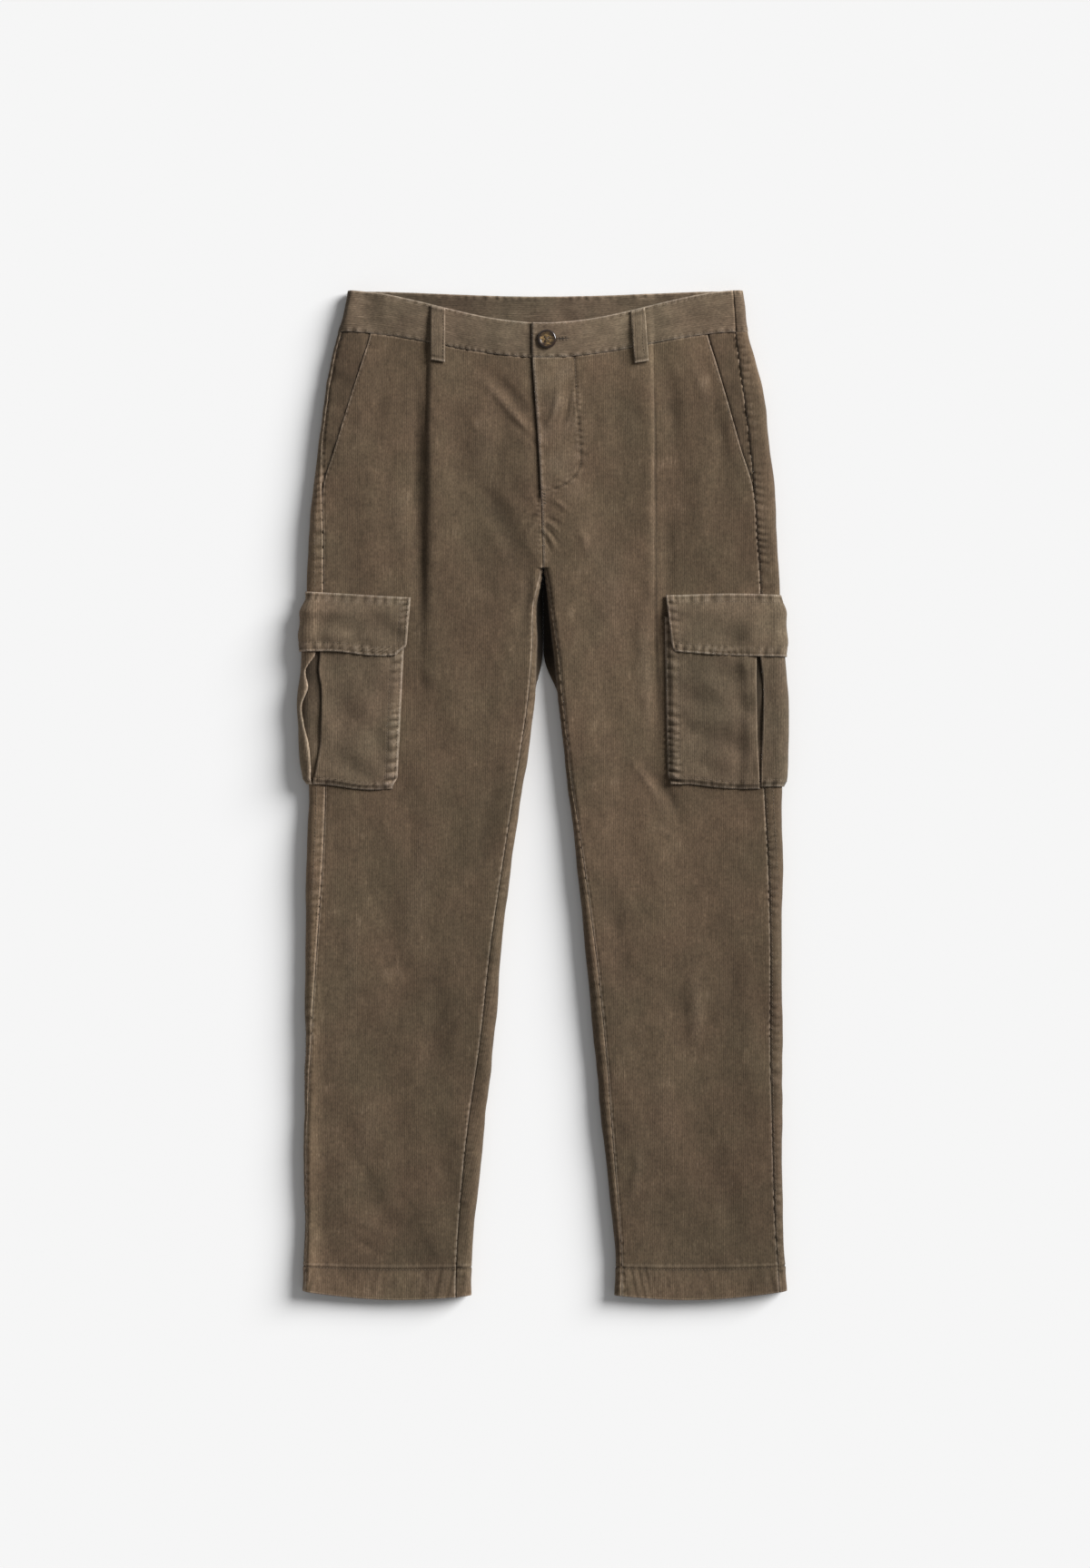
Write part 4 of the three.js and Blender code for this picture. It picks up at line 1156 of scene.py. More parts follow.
def hem_work(side, station, walk):
    """Turned-up hem: thicker cloth, a row of stitches and a ladder of ridges below it."""
    below = HEM_TOP - station
    ridge = ladder(walk + 0.2 * below, 9.5, 6 + side.sign)
    window = ease(-6, 4, below)
    height = 0.45 * window + 0.26 * ridge * window - 0.8 * bell(below / 1.8)
    rubbed_and_painted_shade = 0.18 * ridge * ease(-2, 3, below) + 0.8 * ease(26.5, 29, below)
    # The groove at the hem's row of stitches is darkened as painted shade; the pale hem fold and the ridge
    # above the row are wear.
    rubbed_and_painted_shade = rubbed_and_painted_shade + 0.4 * bell((below + 3.2) / 2.2) - 0.45 * bell((below - 0.5) / 2)
    return height, rubbed_and_painted_shade


print("rows of a panel:", len(PANEL_ROWS), "columns:", front_walks(left).shape[1])

# %% [markdown]
# ## Fronts
#
# Each front goes from the side seam over its pleat to the fly and, lower down, to the inside leg seam. The
# left one is not the right one mirrored, because the photograph shows two different outlines.

# %% Fronts
fronts = {}
for side in (left, right):
    layer = Layer(side, detail=front_detail(side))
    fronts[side.name] = layer
    name = f"front_{side.name}"
    sew(f"cloth_{name}", layer, PANEL_ROWS, front_walks(side), body_cord, hem=True)
print("fronts:", {name: count for name, count in triangles.items()})

# %% [markdown]
# ## Backs
#
# A back starts at the side seam on the front, goes over the outer fold, lies level below, and comes up at
# the inner fold. It could stop where it goes out of sight, but then the edge would look like paper.

# %% Backs
BACK_SHARES = np.array([0, 0.12, 0.25, 0.4, 0.55, 0.7, 0.85])
LEVEL_SHARES = np.linspace(0, 1, 46)[:-1]
CURL_SHARES = np.linspace(0, 1, 17)


def back_walks(side):
    """Walks of all columns of a back, row by row, closest at its folds."""
    station = PANEL_ROWS
    seam = (walk_at(side, station, along(side.outline, "seam", station)) - SEAM_GAP / 2)[:, None]
    quarter = quarter_at(station)[:, None]
    curl_walk, end = (edge[:, None] for edge in back_end(side, station))
    over = mix(seam, 0, BACK_SHARES[None, :])
    round_fold = mix(0, -quarter, BACK_SHARES[None, :])
    level = mix(-quarter, curl_walk, LEVEL_SHARES[None, :])
    curled = mix(curl_walk, end, CURL_SHARES[None, :])
    return np.concatenate([over, round_fold, level, curled], axis=1)


def back_detail(side):
    """Surface work of a back: its two seams, its hem, and the closed wedge at the crotch, darkened as
    painted shade.
    """
    def detail(station, walk):
        seam = walk_at(side, station, along(side.outline, "seam", station)) - SEAM_GAP / 2
        _, end = back_end(side, station)
        outer = edge_work(seam - walk, station, 13 + side.sign, (2.0, 9.0), size=0.85, pitch=9, wear=0.7)
        outer = (outer[0] * mix(0.25, 1, ease(6, 20, seam)), outer[1])
        inner = edge_work(walk - end, station, 17 + side.sign, (2.0, 7.5), size=0.50, pitch=8, wear=0.45)
        on_leg = ease(CROTCH, CROTCH - 8, station)
        inner = (inner[0] * on_leg, inner[1] * on_leg)
        turned = curl_angle(side, station, walk)
        # The closed wedge at the crotch, deep in the gap between the legs, is darkened as painted shade.
        crotch_painted_shade = fork_at(station) * ease(1.55, 1.25, turned) * ease(0, 0.2, turned)
        return together(outer, inner, hem_work(side, station, walk), (0 * walk, -0.95 * crotch_painted_shade))
    return detail


backs = {}
for side in (left, right):
    layer = Layer(side, detail=back_detail(side), placing=back_place)
    backs[side.name] = layer
    sew(f"cloth_back_{side.name}", layer, PANEL_ROWS, back_walks(side), body_cord, hem=True)
print("triangles so far:", sum(triangles.values()))

# %% [markdown]
# ## Slash pockets
#
# The facing shows between the slanted pocket mouth and the side seam, a little lower than the front. It is
# darkened as painted shade, most along the mouth. It could be a groove drawn on the front, but it is a piece
# of cloth of its own.

# %% Facings
FACING_FOOT = 322
FACING_ROWS = np.append(np.arange(WAIST_SEAM - SEAM_GAP / 2, FACING_FOOT + 1, -2.7), FACING_FOOT)
for side in (left, right):
    station = FACING_ROWS
    slash = walk_at(side, station, along(side.outline, "slash", station)) - SEAM_GAP / 2
    seam = walk_at(side, station, along(side.outline, "seam", station)) + SEAM_GAP / 2
    walks = mix(seam[:, None], slash[:, None], np.linspace(0, 1, 14)[None, :])

    def facing_detail(station, walk, side=side):
        edge = walk_at(side, station, along(side.outline, "seam", station))
        mouth = walk_at(side, station, along(side.outline, "slash", station))
        soft = 0.35 * uneven(walk + station * 0.5, station, 30, 22 + side.sign)
        soft = soft - 0.3 * bell((mouth - walk) / 3)
        # The facing is darkened all over as painted shade, and most along the pocket mouth.
        shade = -0.22 - 0.45 * bell((mouth - walk) / 3.5)
        return together(edge_work(walk - edge, station, 21, rows=(1.8,), size=0.4, pitch=8), (soft, shade))

    sew(f"cloth_pocket_facing_{side.name}", Layer(side, -0.7, facing_detail), station, walks, body_cord)
print("facings done")

# %% [markdown]
# ## Waistband
#
# The band is a doubled strip whose wales run round the waist. Its right end laps over the left and takes the
# button. The same surface as the fronts carries it, so it follows the dip of the waist without a gap.

# %% Waistband
BAND_ROWS = np.linspace(WAIST_SEAM + SEAM_GAP / 2, WAIST_TOP, 25)


def band_detail(run_from_end, seed):
    """Surface work of a band: two stitched edges, a soft crown, and what its end adds."""
    def detail(station, walk):
        low = edge_work(station - WAIST_SEAM, walk, seed, rows=(2.6,), size=0.62, pitch=9, wear=1.15)
        high = edge_work(WAIST_TOP - station, walk, seed + 1, rows=(2.6,), size=0.52, pitch=8.5, wear=1.1)
        crown = 0.5 * bell((station - (WAIST_SEAM + WAIST_TOP) / 2) / 26)
        crown = crown + 0.5 * uneven(walk, station, 34, seed)
        end = run_from_end(station, walk)
        return together(low, high, (crown, 0 * walk), end)
    return detail


bands = {}
for side in (left, right):
    station = BAND_ROWS
    start = walk_at(side, station, along(side.outline, "seam", station)) + SEAM_GAP / 2
    end = walk_at(side, station, -side.sign * BAND_CLOSE + SEAM_GAP / 2)
    walks = mix(start[:, None], end[:, None], np.linspace(0, 1, 96)[None, :])

    def band_end(station, walk, side=side):
        from_end = walk_at(side, station, -side.sign * BAND_CLOSE) - walk
        if side.sign > 0:
            height, wear = edge_work(from_end, station, 31, rows=(4.2,), size=0.25, pitch=9)
            ridge = 1.3 * (1 - ease(0, 30, from_end)) + 0.7 * bell((from_end - 2.2) / 2.2)
            return height + ridge, wear + 0.4 * bell((from_end - 2) / 3)
        # The left band's end, tucked under the right one, is darkened as painted shade.
        return -1.0 * (1 - ease(0, 14, from_end)), -0.5 * bell(from_end / 6)

    layer = Layer(side, BAND_LIFT, band_detail(band_end, 33 + side.sign))
    bands[side.name] = layer
    sew(f"cloth_waistband_front_{side.name}", layer, station, walks, band_cord, BAND_CLOTH, upright=False)
print("front bands done")

# %% [markdown]
# ## Back band
#
# Behind the dipping front one sees the inside of the back band. It runs in one piece from side seam to side
# seam, so both halves are worked out as layers and joined into one grid before the mesh is made.

# %% Back band
def back_band_walks(side, shares):
    """Walks of half the back band: level to share 1, round the fold to 2, then to the side seam."""
    station = BAND_ROWS[:, None]
    seam = walk_at(side, station, along(side.outline, "seam", station)) - SEAM_GAP / 2
    quarter = quarter_at(station)
    flat = along(side.outline, "outer", station) - quarter / (math.pi / 2)
    walk = np.where(shares < 1, -(quarter + (1 - shares) * flat), -(2 - shares) * quarter)
    return np.where(shares > 2, (shares - 2) * seam, walk)


# The inside of the back band, behind the dipping front band, is darkened by this much as painted shade.
INSIDE_PAINTED_SHADE = 0.22
HALF_BAND = np.concatenate([np.linspace(0, 1, 50), np.linspace(1, 2, 7)[1:], np.linspace(2, 3, 9)[1:]])


def whole_band():
    """The back band in one grid: the left half of its walk is measured on from the right half."""
    station = BAND_ROWS[:, None] + 0 * HALF_BAND[None, :]
    detail = band_detail(plain, 37)
    points, raised, grains = [], [], []
    for side in (left, right):
        walk = back_band_walks(side, HALF_BAND[None, :])
        layer = Layer(side, 0.0, detail)
        spot, wear = layer.at(station, walk)
        lifted, _ = layer.at(station, walk, 1.0)
        run = side.sign * (walk - walk[:, :1])
        grain = np.stack([station, run, wear - INSIDE_PAINTED_SHADE], axis=-1)
        order = slice(None, 0, -1) if side is left else slice(None)
        points.append(spot[:, order])
        raised.append(lifted[:, order])
        grains.append(grain[:, order])
    return [np.concatenate(parts, axis=1) for parts in (points, raised, grains)]


band_points, band_raised, band_grain = whole_band()
band_mesh, _ = grid_mesh("cloth_waistband_back", band_points, band_raised, band_grain)
band_mesh.materials.append(band_cord)
back_band = piece("cloth_waistband_back", band_mesh, "waistband_back")
shell = back_band.modifiers.new("thickness", "SOLIDIFY")
shell.thickness = BAND_CLOTH * MM
shell.offset = -1
triangles["cloth_waistband_back"] = 4 * len(band_mesh.polygons)

# %% [markdown]
# ## Belt loops
#
# A belt loop is a narrow strip folded in three, sewn down at its two ends, and a little arched between them.

# %% Loops
LOOP_ROW = 2.5


def belt_loop(name, side, low_reach, top_reach, under):
    """Belt loop with its two rows, on the front or under the back."""
    bottom = WAIST_SEAM - LOOP_BELOW_SEAM
    top = WAIST_TOP - 1
    station = np.linspace(bottom, top, 34)[:, None]
    share = (station - bottom) / (top - bottom)
    offset = mix(low_reach, top_reach, share) + np.linspace(-0.5, 0.5, 13)[None, :] * LOOP_WIDTH
    if under:
        quarter = quarter_at(station)
        walks = -(quarter + along(side.outline, "outer", station) - quarter / (math.pi / 2) - offset)
    else:
        walks = walk_at(side, station, offset)
    seat = LOOP_CLOTH + (SEAM_GAP if under else 2 * SEAM_GAP + BAND_LIFT)

    def lift(station, walk):
        height = (station - bottom) / (top - bottom)
        return seat + (0 if under else LOOP_ARCH * np.sin(np.pi * np.clip(height, 0, 1)))

    middle = walks.mean(axis=1)

    def detail(station, walk):
        centre = np.interp(station, np.linspace(bottom, top, 34), middle)
        edge = LOOP_WIDTH / 2 - np.abs(walk - centre)
        end = np.minimum(station - bottom, top - station)
        height = -0.5 * (1 - ease(0, 1.8, edge)) - 0.45 * bell((edge - 3) / 1.3)
        height = height - 0.7 * bell((end - 4.5) / 2) + 0.5 * bell((end - 1.5) / 2.5)
        # The groove at each sewn end is darkened as painted shade; the loop's edges and folded ends are pale
        # with wear.
        wear = 0.6 * bell(edge / 1.7) + 0.9 * bell((end - 1.2) / 2.6) - 0.4 * bell((end - 5) / 2.2)
        return height, np.clip(wear, -0.4, 1)

    layer = Layer(side, lift, detail)
    sew(f"cloth_{name}", layer, station[:, 0], walks, band_cord, LOOP_CLOTH)
    for beside in (LOOP_ROW - LOOP_WIDTH / 2, LOOP_WIDTH / 2 - LOOP_ROW):
        stitch(layer, [bottom + 2, top - 2], [middle[0] + beside, middle[-1] + beside])


belt_loop("belt_loop_front_left", left, 109.6, 109.6, False)
belt_loop("belt_loop_front_right", right, 102.5, 98.5, False)
belt_loop("belt_loop_back_left", left, 118, 118, True)
belt_loop("belt_loop_back_centre", right, 0, 0, True)
belt_loop("belt_loop_back_right", right, 118, 118, True)
print("loops done")

# %% [markdown]
# ## Cargo pockets
#
# Each pocket is a bellows: a front with a double-stitched edge, a side that goes round the leg, and between
# them an open pleat with its underlay. The flap lies over the top and goes round the leg as well.

# %% Pocket layers
POCKET_SPAN = 100
FLAP_SPAN = 112


def bag_lift(side, station, walk):
    """Lift of the pocket's side: full on the top and at the outer fold, close under the leg."""
    radius = along(SHARED, "loft", station) / 2
    return mix(BAG_LIFT, UNDER_LIFT, ease(0, -radius * math.pi / 3, walk))


def bag_bottom(side, walk):
    """Station of the pocket's lower edge, which sags between the fold and its inner corner."""
    share = np.clip(walk / POCKET_SPAN, 0, 1)
    if side.sign < 0:
        return 11 - 6 * bell((share - 0.72) / 0.6)
    return 8.5 - 3 * np.sin(np.pi * share) + 2.5 * share ** 2


def bag_inner(side, station):
    """Walk of the pocket's inner edge, with its cut-off lower corner."""
    down = (BAG_TOP - station) / (BAG_TOP - BAG_EDGE)
    edge = walk_at(side, station, mix(side.bag_top, side.bag_bottom, down))
    return edge - side.bag_corner * ease(19, 8, station)


def pocket_front(side):
    """Layer of the pocket's front, which comes down to the leg at its inner and lower edges."""
    def lift(station, walk):
        bottom = bag_bottom(side, walk)
        shut = ease(bottom, bottom + 7, station)
        return mix(UNDER_LIFT, BAG_LIFT, ease(0, 8, bag_inner(side, station) - walk) * shut)

    def detail(station, walk):
        inner = bag_inner(side, station) - walk
        bottom = station - bag_bottom(side, walk)
        mouth = walk - walk_at(side, station, along(side.slit, "main", station))
        run = edge_work(inner, station, 41 + side.sign, rows=(2.8, 13), size=1.2, pitch=9, wear=1.3, lip=3.2)
        low = edge_work(bottom, walk, 43 + side.sign, rows=(7.5,), size=0.6, pitch=9, lip=3.2)
        lip = (-0.4 * (1 - ease(0, 1.5, mouth)), 0.5 * bell(mouth / 2))
        soft = 1.1 * uneven(walk, station, 46, 45 + side.sign) * ease(8, 26, inner) * ease(6, 24, bottom)
        press = 0.9 * (bell((walk - 42) / 7) - bell((walk - 52) / 9)) * (side is right)
        return together(run, low, lip, (soft + press, 0 * walk))
    return Layer(side, lift, detail)


def pocket_side(side):
    """Layer of the pocket's side, which goes round the outer fold."""
    def lift(station, walk):
        bottom = bag_bottom(side, 0 * walk)
        return mix(UNDER_LIFT, bag_lift(side, station, walk), ease(bottom, bottom + 7, station))

    def detail(station, walk):
        mouth = walk_at(side, station, along(side.slit, "side", station)) - walk
        bottom = station - bag_bottom(side, 0 * walk)
        low = edge_work(bottom, walk, 47 + side.sign, rows=(7.5,), size=0.6, pitch=9, lip=3.2)
        wave = 0.8 * np.sin(station / 11 + side.sign) * bell(mouth / 18)
        return together(low, (wave - 0.4 * (1 - ease(0, 1.5, mouth)), 0.8 * bell(mouth / 3)))
    return Layer(side, lift, detail)


def underlay_painted_painted_shade(station, walk):
    """Inside the pleat the cloth is darkened as painted shade, most of all high up under the flap."""
    return 0 * walk, -0.35 - 0.4 * ease(60, 140, station)


def flap_top(side, walk):
    """Station of the flap's upper edge."""
    share = np.clip(walk / FLAP_SPAN, 0, 1)
    return 212.2 - 6.5 * share if side.sign < 0 else 208.2 + 1.5 * np.sin(np.pi * share)


def flap_bottom(side, walk):
    """Station of the flap's lower edge."""
    share = np.clip(walk / FLAP_SPAN, 0, 1)
    if side.sign < 0:
        return 149.3 - 5 * bell((share - 0.75) / 0.5)
    return 143.8 + 5 * share - 1.5 * np.sin(np.pi * share)


def flap_edge(side, station):
    """Walk of the flap's inner edge, with its cut-off lower corner."""
    down = (FLAP_TOP - station) / (FLAP_TOP - FLAP_EDGE)
    edge = walk_at(side, station, mix(side.flap_top, side.flap_corner, down))
    return edge - side.flap_cut * ease(FLAP_EDGE + 11, FLAP_EDGE - 1, station)


def pocket_flap(side):
    """Layer of the flap, sewn to the leg at its top and lying on the pocket below."""
    def lift(station, walk):
        return UNDER_LIFT + bag_lift(side, station, walk) * ease(FLAP_TOP - 1, BAG_TOP + 2, station)

    def detail(station, walk):
        inner = flap_edge(side, station) - walk
        bottom = station - flap_bottom(side, walk)
        top = flap_top(side, walk) - station
        top = edge_work(top, walk, 51 + side.sign, rows=(8.5,), size=0.5, pitch=10, lip=3)
        double = {"rows": (2.8, 9.5), "size": 0.9, "pitch": 8.5, "wear": 1.25, "lip": 3.2}
        low = edge_work(bottom, walk, 53 + side.sign, **double)
        end = edge_work(inner, station, 55 + side.sign, **double)
        soft = 0.9 * uneven(walk + 0.6 * station, station, 38, 57 + side.sign) * ease(2, 20, bottom)
        return together(top, low, end, (soft, 0 * walk))
    return Layer(side, lift, detail)


print("pocket layers ready")

# %% [markdown]
# ## Pockets and flaps
#
# Columns and rows of points stand close together where a ladder or a lip needs them, and wide apart between.
# The lower edges sag a little, so the rows of a pocket are spread between its own top and its own bottom.

# %% Pockets and flaps
DOWN = np.concatenate([np.linspace(0, 0.9, 68), np.linspace(0.91, 1, 14)])[:, None]
FLAP_DOWN = np.linspace(0, 1, 40)[:, None]
FRONT_SHARES = np.concatenate([
    np.linspace(0, 0.04, 3), np.linspace(0.08, 0.78, 18), np.linspace(0.81, 1, 12),
])
SIDE_SHARES = np.concatenate([np.linspace(0, 0.3, 20), np.linspace(0.33, 1, 22)])
UNDERLAY_SHARES = np.linspace(0, 1, 12)
NEAR_SHARES = np.concatenate([np.linspace(0, 0.14, 9), np.linspace(0.17, 1, 24)])
FAR_SHARES = np.concatenate([np.linspace(0, 0.3, 18), np.linspace(0.33, 1, 18)])
pockets = {}
flaps = {}
for side in (left, right):
    straight = mix(BAG_TOP, BAG_EDGE, DOWN)
    main = walk_at(side, straight, along(side.slit, "main", straight))
    inner = bag_inner(side, straight)
    walks = mix(main, inner, FRONT_SHARES[None, :])
    stations = mix(BAG_TOP, bag_bottom(side, walks), DOWN)
    front_layer = pocket_front(side)
    sew(f"cloth_pocket_{side.name}_front", front_layer, stations, walks, pocket_cord)

    side_edge = walk_at(side, straight, along(side.slit, "side", straight))
    walks = mix(side_edge, side_edge - BAG_HALF, SIDE_SHARES[None, :])
    stations = mix(BAG_TOP, bag_bottom(side, 0 * walks), DOWN)
    side_layer = pocket_side(side)
    sew(f"cloth_pocket_{side.name}_side", side_layer, stations, walks, pocket_cord)

    station = straight[:-8]
    start = walk_at(side, station, along(side.slit, "main", station) - 12)
    end = walk_at(side, station, along(side.slit, "side", station) + 2)
    underlay = Layer(side, BAG_LIFT - CLOTH - 2 * SEAM_GAP, underlay_painted_painted_shade)
    walks = mix(start, end, UNDERLAY_SHARES[None, :])
    sew(f"cloth_pocket_{side.name}_pleat", underlay, station[:, 0], walks, pocket_cord)

    straight = mix(FLAP_TOP, FLAP_EDGE, FLAP_DOWN)
    inner = flap_edge(side, straight)
    fold = walk_at(side, straight, along(side.slit, "side", straight))
    flap_layer = pocket_flap(side)
    near = mix(inner, fold, NEAR_SHARES[None, :])
    far = mix(fold, fold - FLAP_HALF, FAR_SHARES[None, 1:])
    walks = np.concatenate([near, far], axis=1)
    stations = mix(flap_top(side, walks), flap_bottom(side, walks), FLAP_DOWN)
    sew(f"cloth_flap_{side.name}", flap_layer, stations, walks, pocket_cord)
    pockets[side.name] = (front_layer, side_layer)
    flaps[side.name] = flap_layer
print("triangles so far:", sum(triangles.values()))

# %% [markdown]
# ## Fly
#
# Under the fly lie the zip and a shield of cloth. They hardly show, but a look into the waist finds them.
# The zip keeps its solid from the frame and only gets its woven tape, since its teeth can't be seen.

# %% Fly shield and zip
FLY_ROWS = np.linspace(CROTCH + 50, WAIST_SEAM - 4, 60)
fly_reach = -along(FLY_LINE, "reach", FLY_ROWS)[:, None]
shield_walks = walk_at(right, FLY_ROWS[:, None], fly_reach + np.linspace(-14, 24, 14)[None, :])
shield = Layer(right, -(CLOTH + 2 * SEAM_GAP + 1.2))
sew("cloth_fly_shield", shield, FLY_ROWS, shield_walks, body_cord)
zip_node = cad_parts["zip"]
zip_node.data.materials.clear()
zip_node.data.materials.append(tape)
print("shield done")

# %% [markdown]
# ## Stitch rows
#
# Each row is a path over one layer, so its stitches lie in the grooves that the edges already have. They
# are the pocket mouths, the side seams, the hems, the edge of the fly, its J-shaped row and the bar below.

# %% Rows on the body
ROW_TOP = WAIST_SEAM - 3
ROW_END = 2
SLASH_FOOT = 340
SEAM_TOP = 325
SEAM_ROWS = (2.0, 9.0)
HEM_ROW = HEM_TOP - 0.5
FLY_ROW = 2.4
BAR_ROWS = (3.6, 4.3, 5.0)
BAR_LONG = 17

for side in (left, right):
    layer = fronts[side.name]
    slash_rows = np.linspace(ROW_TOP, SLASH_FOOT, 120)
    stitch(layer, slash_rows, front_edges(side, slash_rows)[0] + SEAM_ROWS[0])
    hem_start, _, _, hem_end = front_edges(side, np.array([HEM_ROW]))
    hem_run = np.linspace(hem_start[0] + ROW_END, hem_end[0] - ROW_END, 200)
    stitch(layer, np.full(200, HEM_ROW), hem_run)
    back = backs[side.name]
    outer = np.linspace(SEAM_TOP, HEM_TOP, 500)
    seam = walk_at(side, outer, along(side.outline, "seam", outer)) - SEAM_GAP / 2
    for row in SEAM_ROWS:
        stitch(back, outer, seam - row)
    hem_walks = back_walks(side)[-6]
    hem_run = np.linspace(hem_walks[0] - ROW_END, hem_walks[-1] + ROW_END, 300)
    stitch(back, np.full(300, HEM_ROW), hem_run)
fly_rows = np.linspace(ROW_TOP, CROTCH + 12, 160)
fly_edge = front_edges(right, fly_rows)[3]
stitch(fronts["right"], fly_rows, fly_edge - FLY_ROW)
turn = np.linspace(0, math.pi / 2, 80)
corner = FLY_FOOT + FLY_BEND
bend_rows = corner - FLY_BEND * np.sin(turn)
bend_walks = front_edges(right, bend_rows)[3] - FLY_WIDTH * np.cos(turn)
straight_rows = np.linspace(ROW_TOP, corner, 120)
straight_walks = front_edges(right, straight_rows)[3] - FLY_WIDTH
stitch(fronts["right"], straight_rows, straight_walks)
stitch(fronts["right"], bend_rows, bend_walks)
bar_rows = np.linspace(FLY_FOOT + 1, FLY_FOOT + 1 - BAR_LONG, 40)
for row in BAR_ROWS:
    stitch(fronts["right"], bar_rows, front_edges(right, bar_rows)[3] - row)
print("rows:", len(stitch_places))

# %% [markdown]
# ## Rows on bands, pockets and flaps
#
# Bands have a row along each edge, flaps and pockets two rows along the edges that take the strain. The
# buttonhole is sewn round with short rows, which stand in for its close stitches.

# %% Rows on bands, pockets and flaps
BAND_ROW = 2.2
BAG_ROWS = (2.5, 13)
BAG_LOW_ROW = 7.5
FLAP_TOP_ROW = 8.5
FLAP_ROWS = (2.4, 9.5)
SLIT_ROWS = (-1.9, -1.3, 1.3, 1.9)

for side in (left, right):
    layer = bands[side.name]
    for station in (WAIST_SEAM + BAND_ROW, WAIST_TOP - BAND_ROW):
        rows = np.full(300, station)
        start = walk_at(side, station, along(side.outline, "seam", station)) + ROW_END
        end = walk_at(side, station, -side.sign * BAND_CLOSE) - ROW_END
        stitch(layer, rows, np.linspace(start, end, 300))
    front_layer, side_layer = pockets[side.name]
    down = np.linspace(FLAP_EDGE - 2, BAG_EDGE + 8, 150)
    for row in BAG_ROWS:
        stitch(front_layer, down, bag_inner(side, down) - row)
    level = BAG_EDGE + BAG_LOW_ROW
    main = walk_at(side, level, along(side.slit, "main", level)) + ROW_END
    run = np.linspace(bag_inner(side, level) - 6, main, 200)
    stitch(front_layer, bag_bottom(side, run) + BAG_LOW_ROW, run)
    edge = walk_at(side, level, along(side.slit, "side", level))
    run = np.linspace(edge - ROW_END, edge - BAG_HALF + ROW_END, 200)
    stitch(side_layer, bag_bottom(side, 0 * run) + BAG_LOW_ROW, run)
    flap_layer = flaps[side.name]
    far_end = 12 - FLAP_HALF
    run = np.linspace(flap_edge(side, FLAP_TOP - FLAP_TOP_ROW) - FLAP_ROWS[0], far_end, 300)
    stitch(flap_layer, flap_top(side, run) - FLAP_TOP_ROW, run)
    for row in FLAP_ROWS:
        run = np.linspace(flap_edge(side, FLAP_EDGE + row) - FLAP_ROWS[0], far_end, 300)
        stitch(flap_layer, flap_bottom(side, run) + row, run)
        down = np.linspace(FLAP_TOP - 6, FLAP_EDGE + 12, 120)
        stitch(flap_layer, down, flap_edge(side, down) - row)
slit = walk_at(right, BUTTON_STATION, BUTTON_X + SLIT_START) - np.linspace(0, SLIT_LONG, 30)
for row in SLIT_ROWS:
    stitch(bands["right"], np.full(30, BUTTON_STATION + row), slit)
sewing = piece("stitches", stitch_mesh("stitches"))
print("stitch rows:", len(stitch_places), "triangles:", len(sewing.data.polygons) * 2)

# %% [markdown]
# ## Button
#
# A four-hole button: a turned disc with a raised rim and a dished middle. It is made by spinning half of its
# section round its axis; the holes are short bars painted near black as painted shade, with the crossed
# thread between them.

# %% Button
def button_mesh():
    """Turned disc with a rounded rim, made by spinning its section."""
    radius, top = BUTTON_RADIUS, BUTTON_THICK
    underside = [(0.0, 0.0), (radius - 2.6, 0.0), (radius - 0.9, 0.5)]
    rim = [(radius, 1.7), (radius - 0.5, 2.9), (radius - 1.6, top), (radius - 2.8, top - 0.2)]
    dish = [(radius - 3.9, top - 0.9), (radius - 5.2, top - 1.1), (0.0, top - 1.15)]
    section = underside + rim + dish
    made = bmesh.new()
    corners = [made.verts.new((x, 0, z)) for x, z in section]
    edges = [made.edges.new(pair) for pair in zip(corners, corners[1:])]
    bmesh.ops.spin(made, geom=corners + edges, cent=(0, 0, 0), axis=(0, 0, 1), angle=2 * math.pi,
                   steps=48, use_merge=True)
    bmesh.ops.remove_doubles(made, verts=made.verts, dist=0.001)
    bmesh.ops.recalc_face_normals(made, faces=made.faces)
    return made


def on_band(station, above):
    """Point above the right band, on the line of the button."""
    station = np.array([float(station)])
    point, _ = bands["right"].at(station, walk_at(right, station, BUTTON_X), above)
    return point[0]


below = on_band(BUTTON_STATION - BUTTON_RADIUS, BUTTON_SHANK)
over = on_band(BUTTON_STATION + BUTTON_RADIUS, BUTTON_SHANK)
tilt = -math.atan2(below[2] - over[2], over[1] - below[1])
seat = on_band(BUTTON_STATION, BUTTON_SHANK)


def set_on_band(points):
    """Turns and moves points of the button's own space onto the band."""
    x, y, z = points.T
    level, upright = math.cos(tilt), math.sin(tilt)
    turned = np.stack([x, y * level - z * upright, y * upright + z * level], axis=1)
    return (turned + seat) * MM


disc = button_mesh()
mesh = bpy.data.meshes.new("button_disc")
disc.to_mesh(mesh)
disc.free()
flat = np.empty(len(mesh.vertices) * 3)
mesh.vertices.foreach_get("co", flat)
mesh.vertices.foreach_set("co", set_on_band(flat.reshape(-1, 3)).ravel())
mesh.polygons.foreach_set("use_smooth", [True] * len(mesh.polygons))
mesh.materials.append(horn_material(seat))
mesh.update()
button = piece("button_disc", mesh, "button")
print("button tilt", round(math.degrees(tilt), 1), "degrees")

# %% [markdown]
# ## Holes, thread and buttonhole
#
# The holes could be cut out of the disc, but each would show only a dark well, so a short bar painted near
# black, as painted shade, stands for it. Two bars of thread cross between them. The buttonhole is a slit
# painted near black as painted shade, laid on the band.

# %% Button thread and holes
THREAD_RADIUS = 0.35
SLIT_COLUMNS = 15


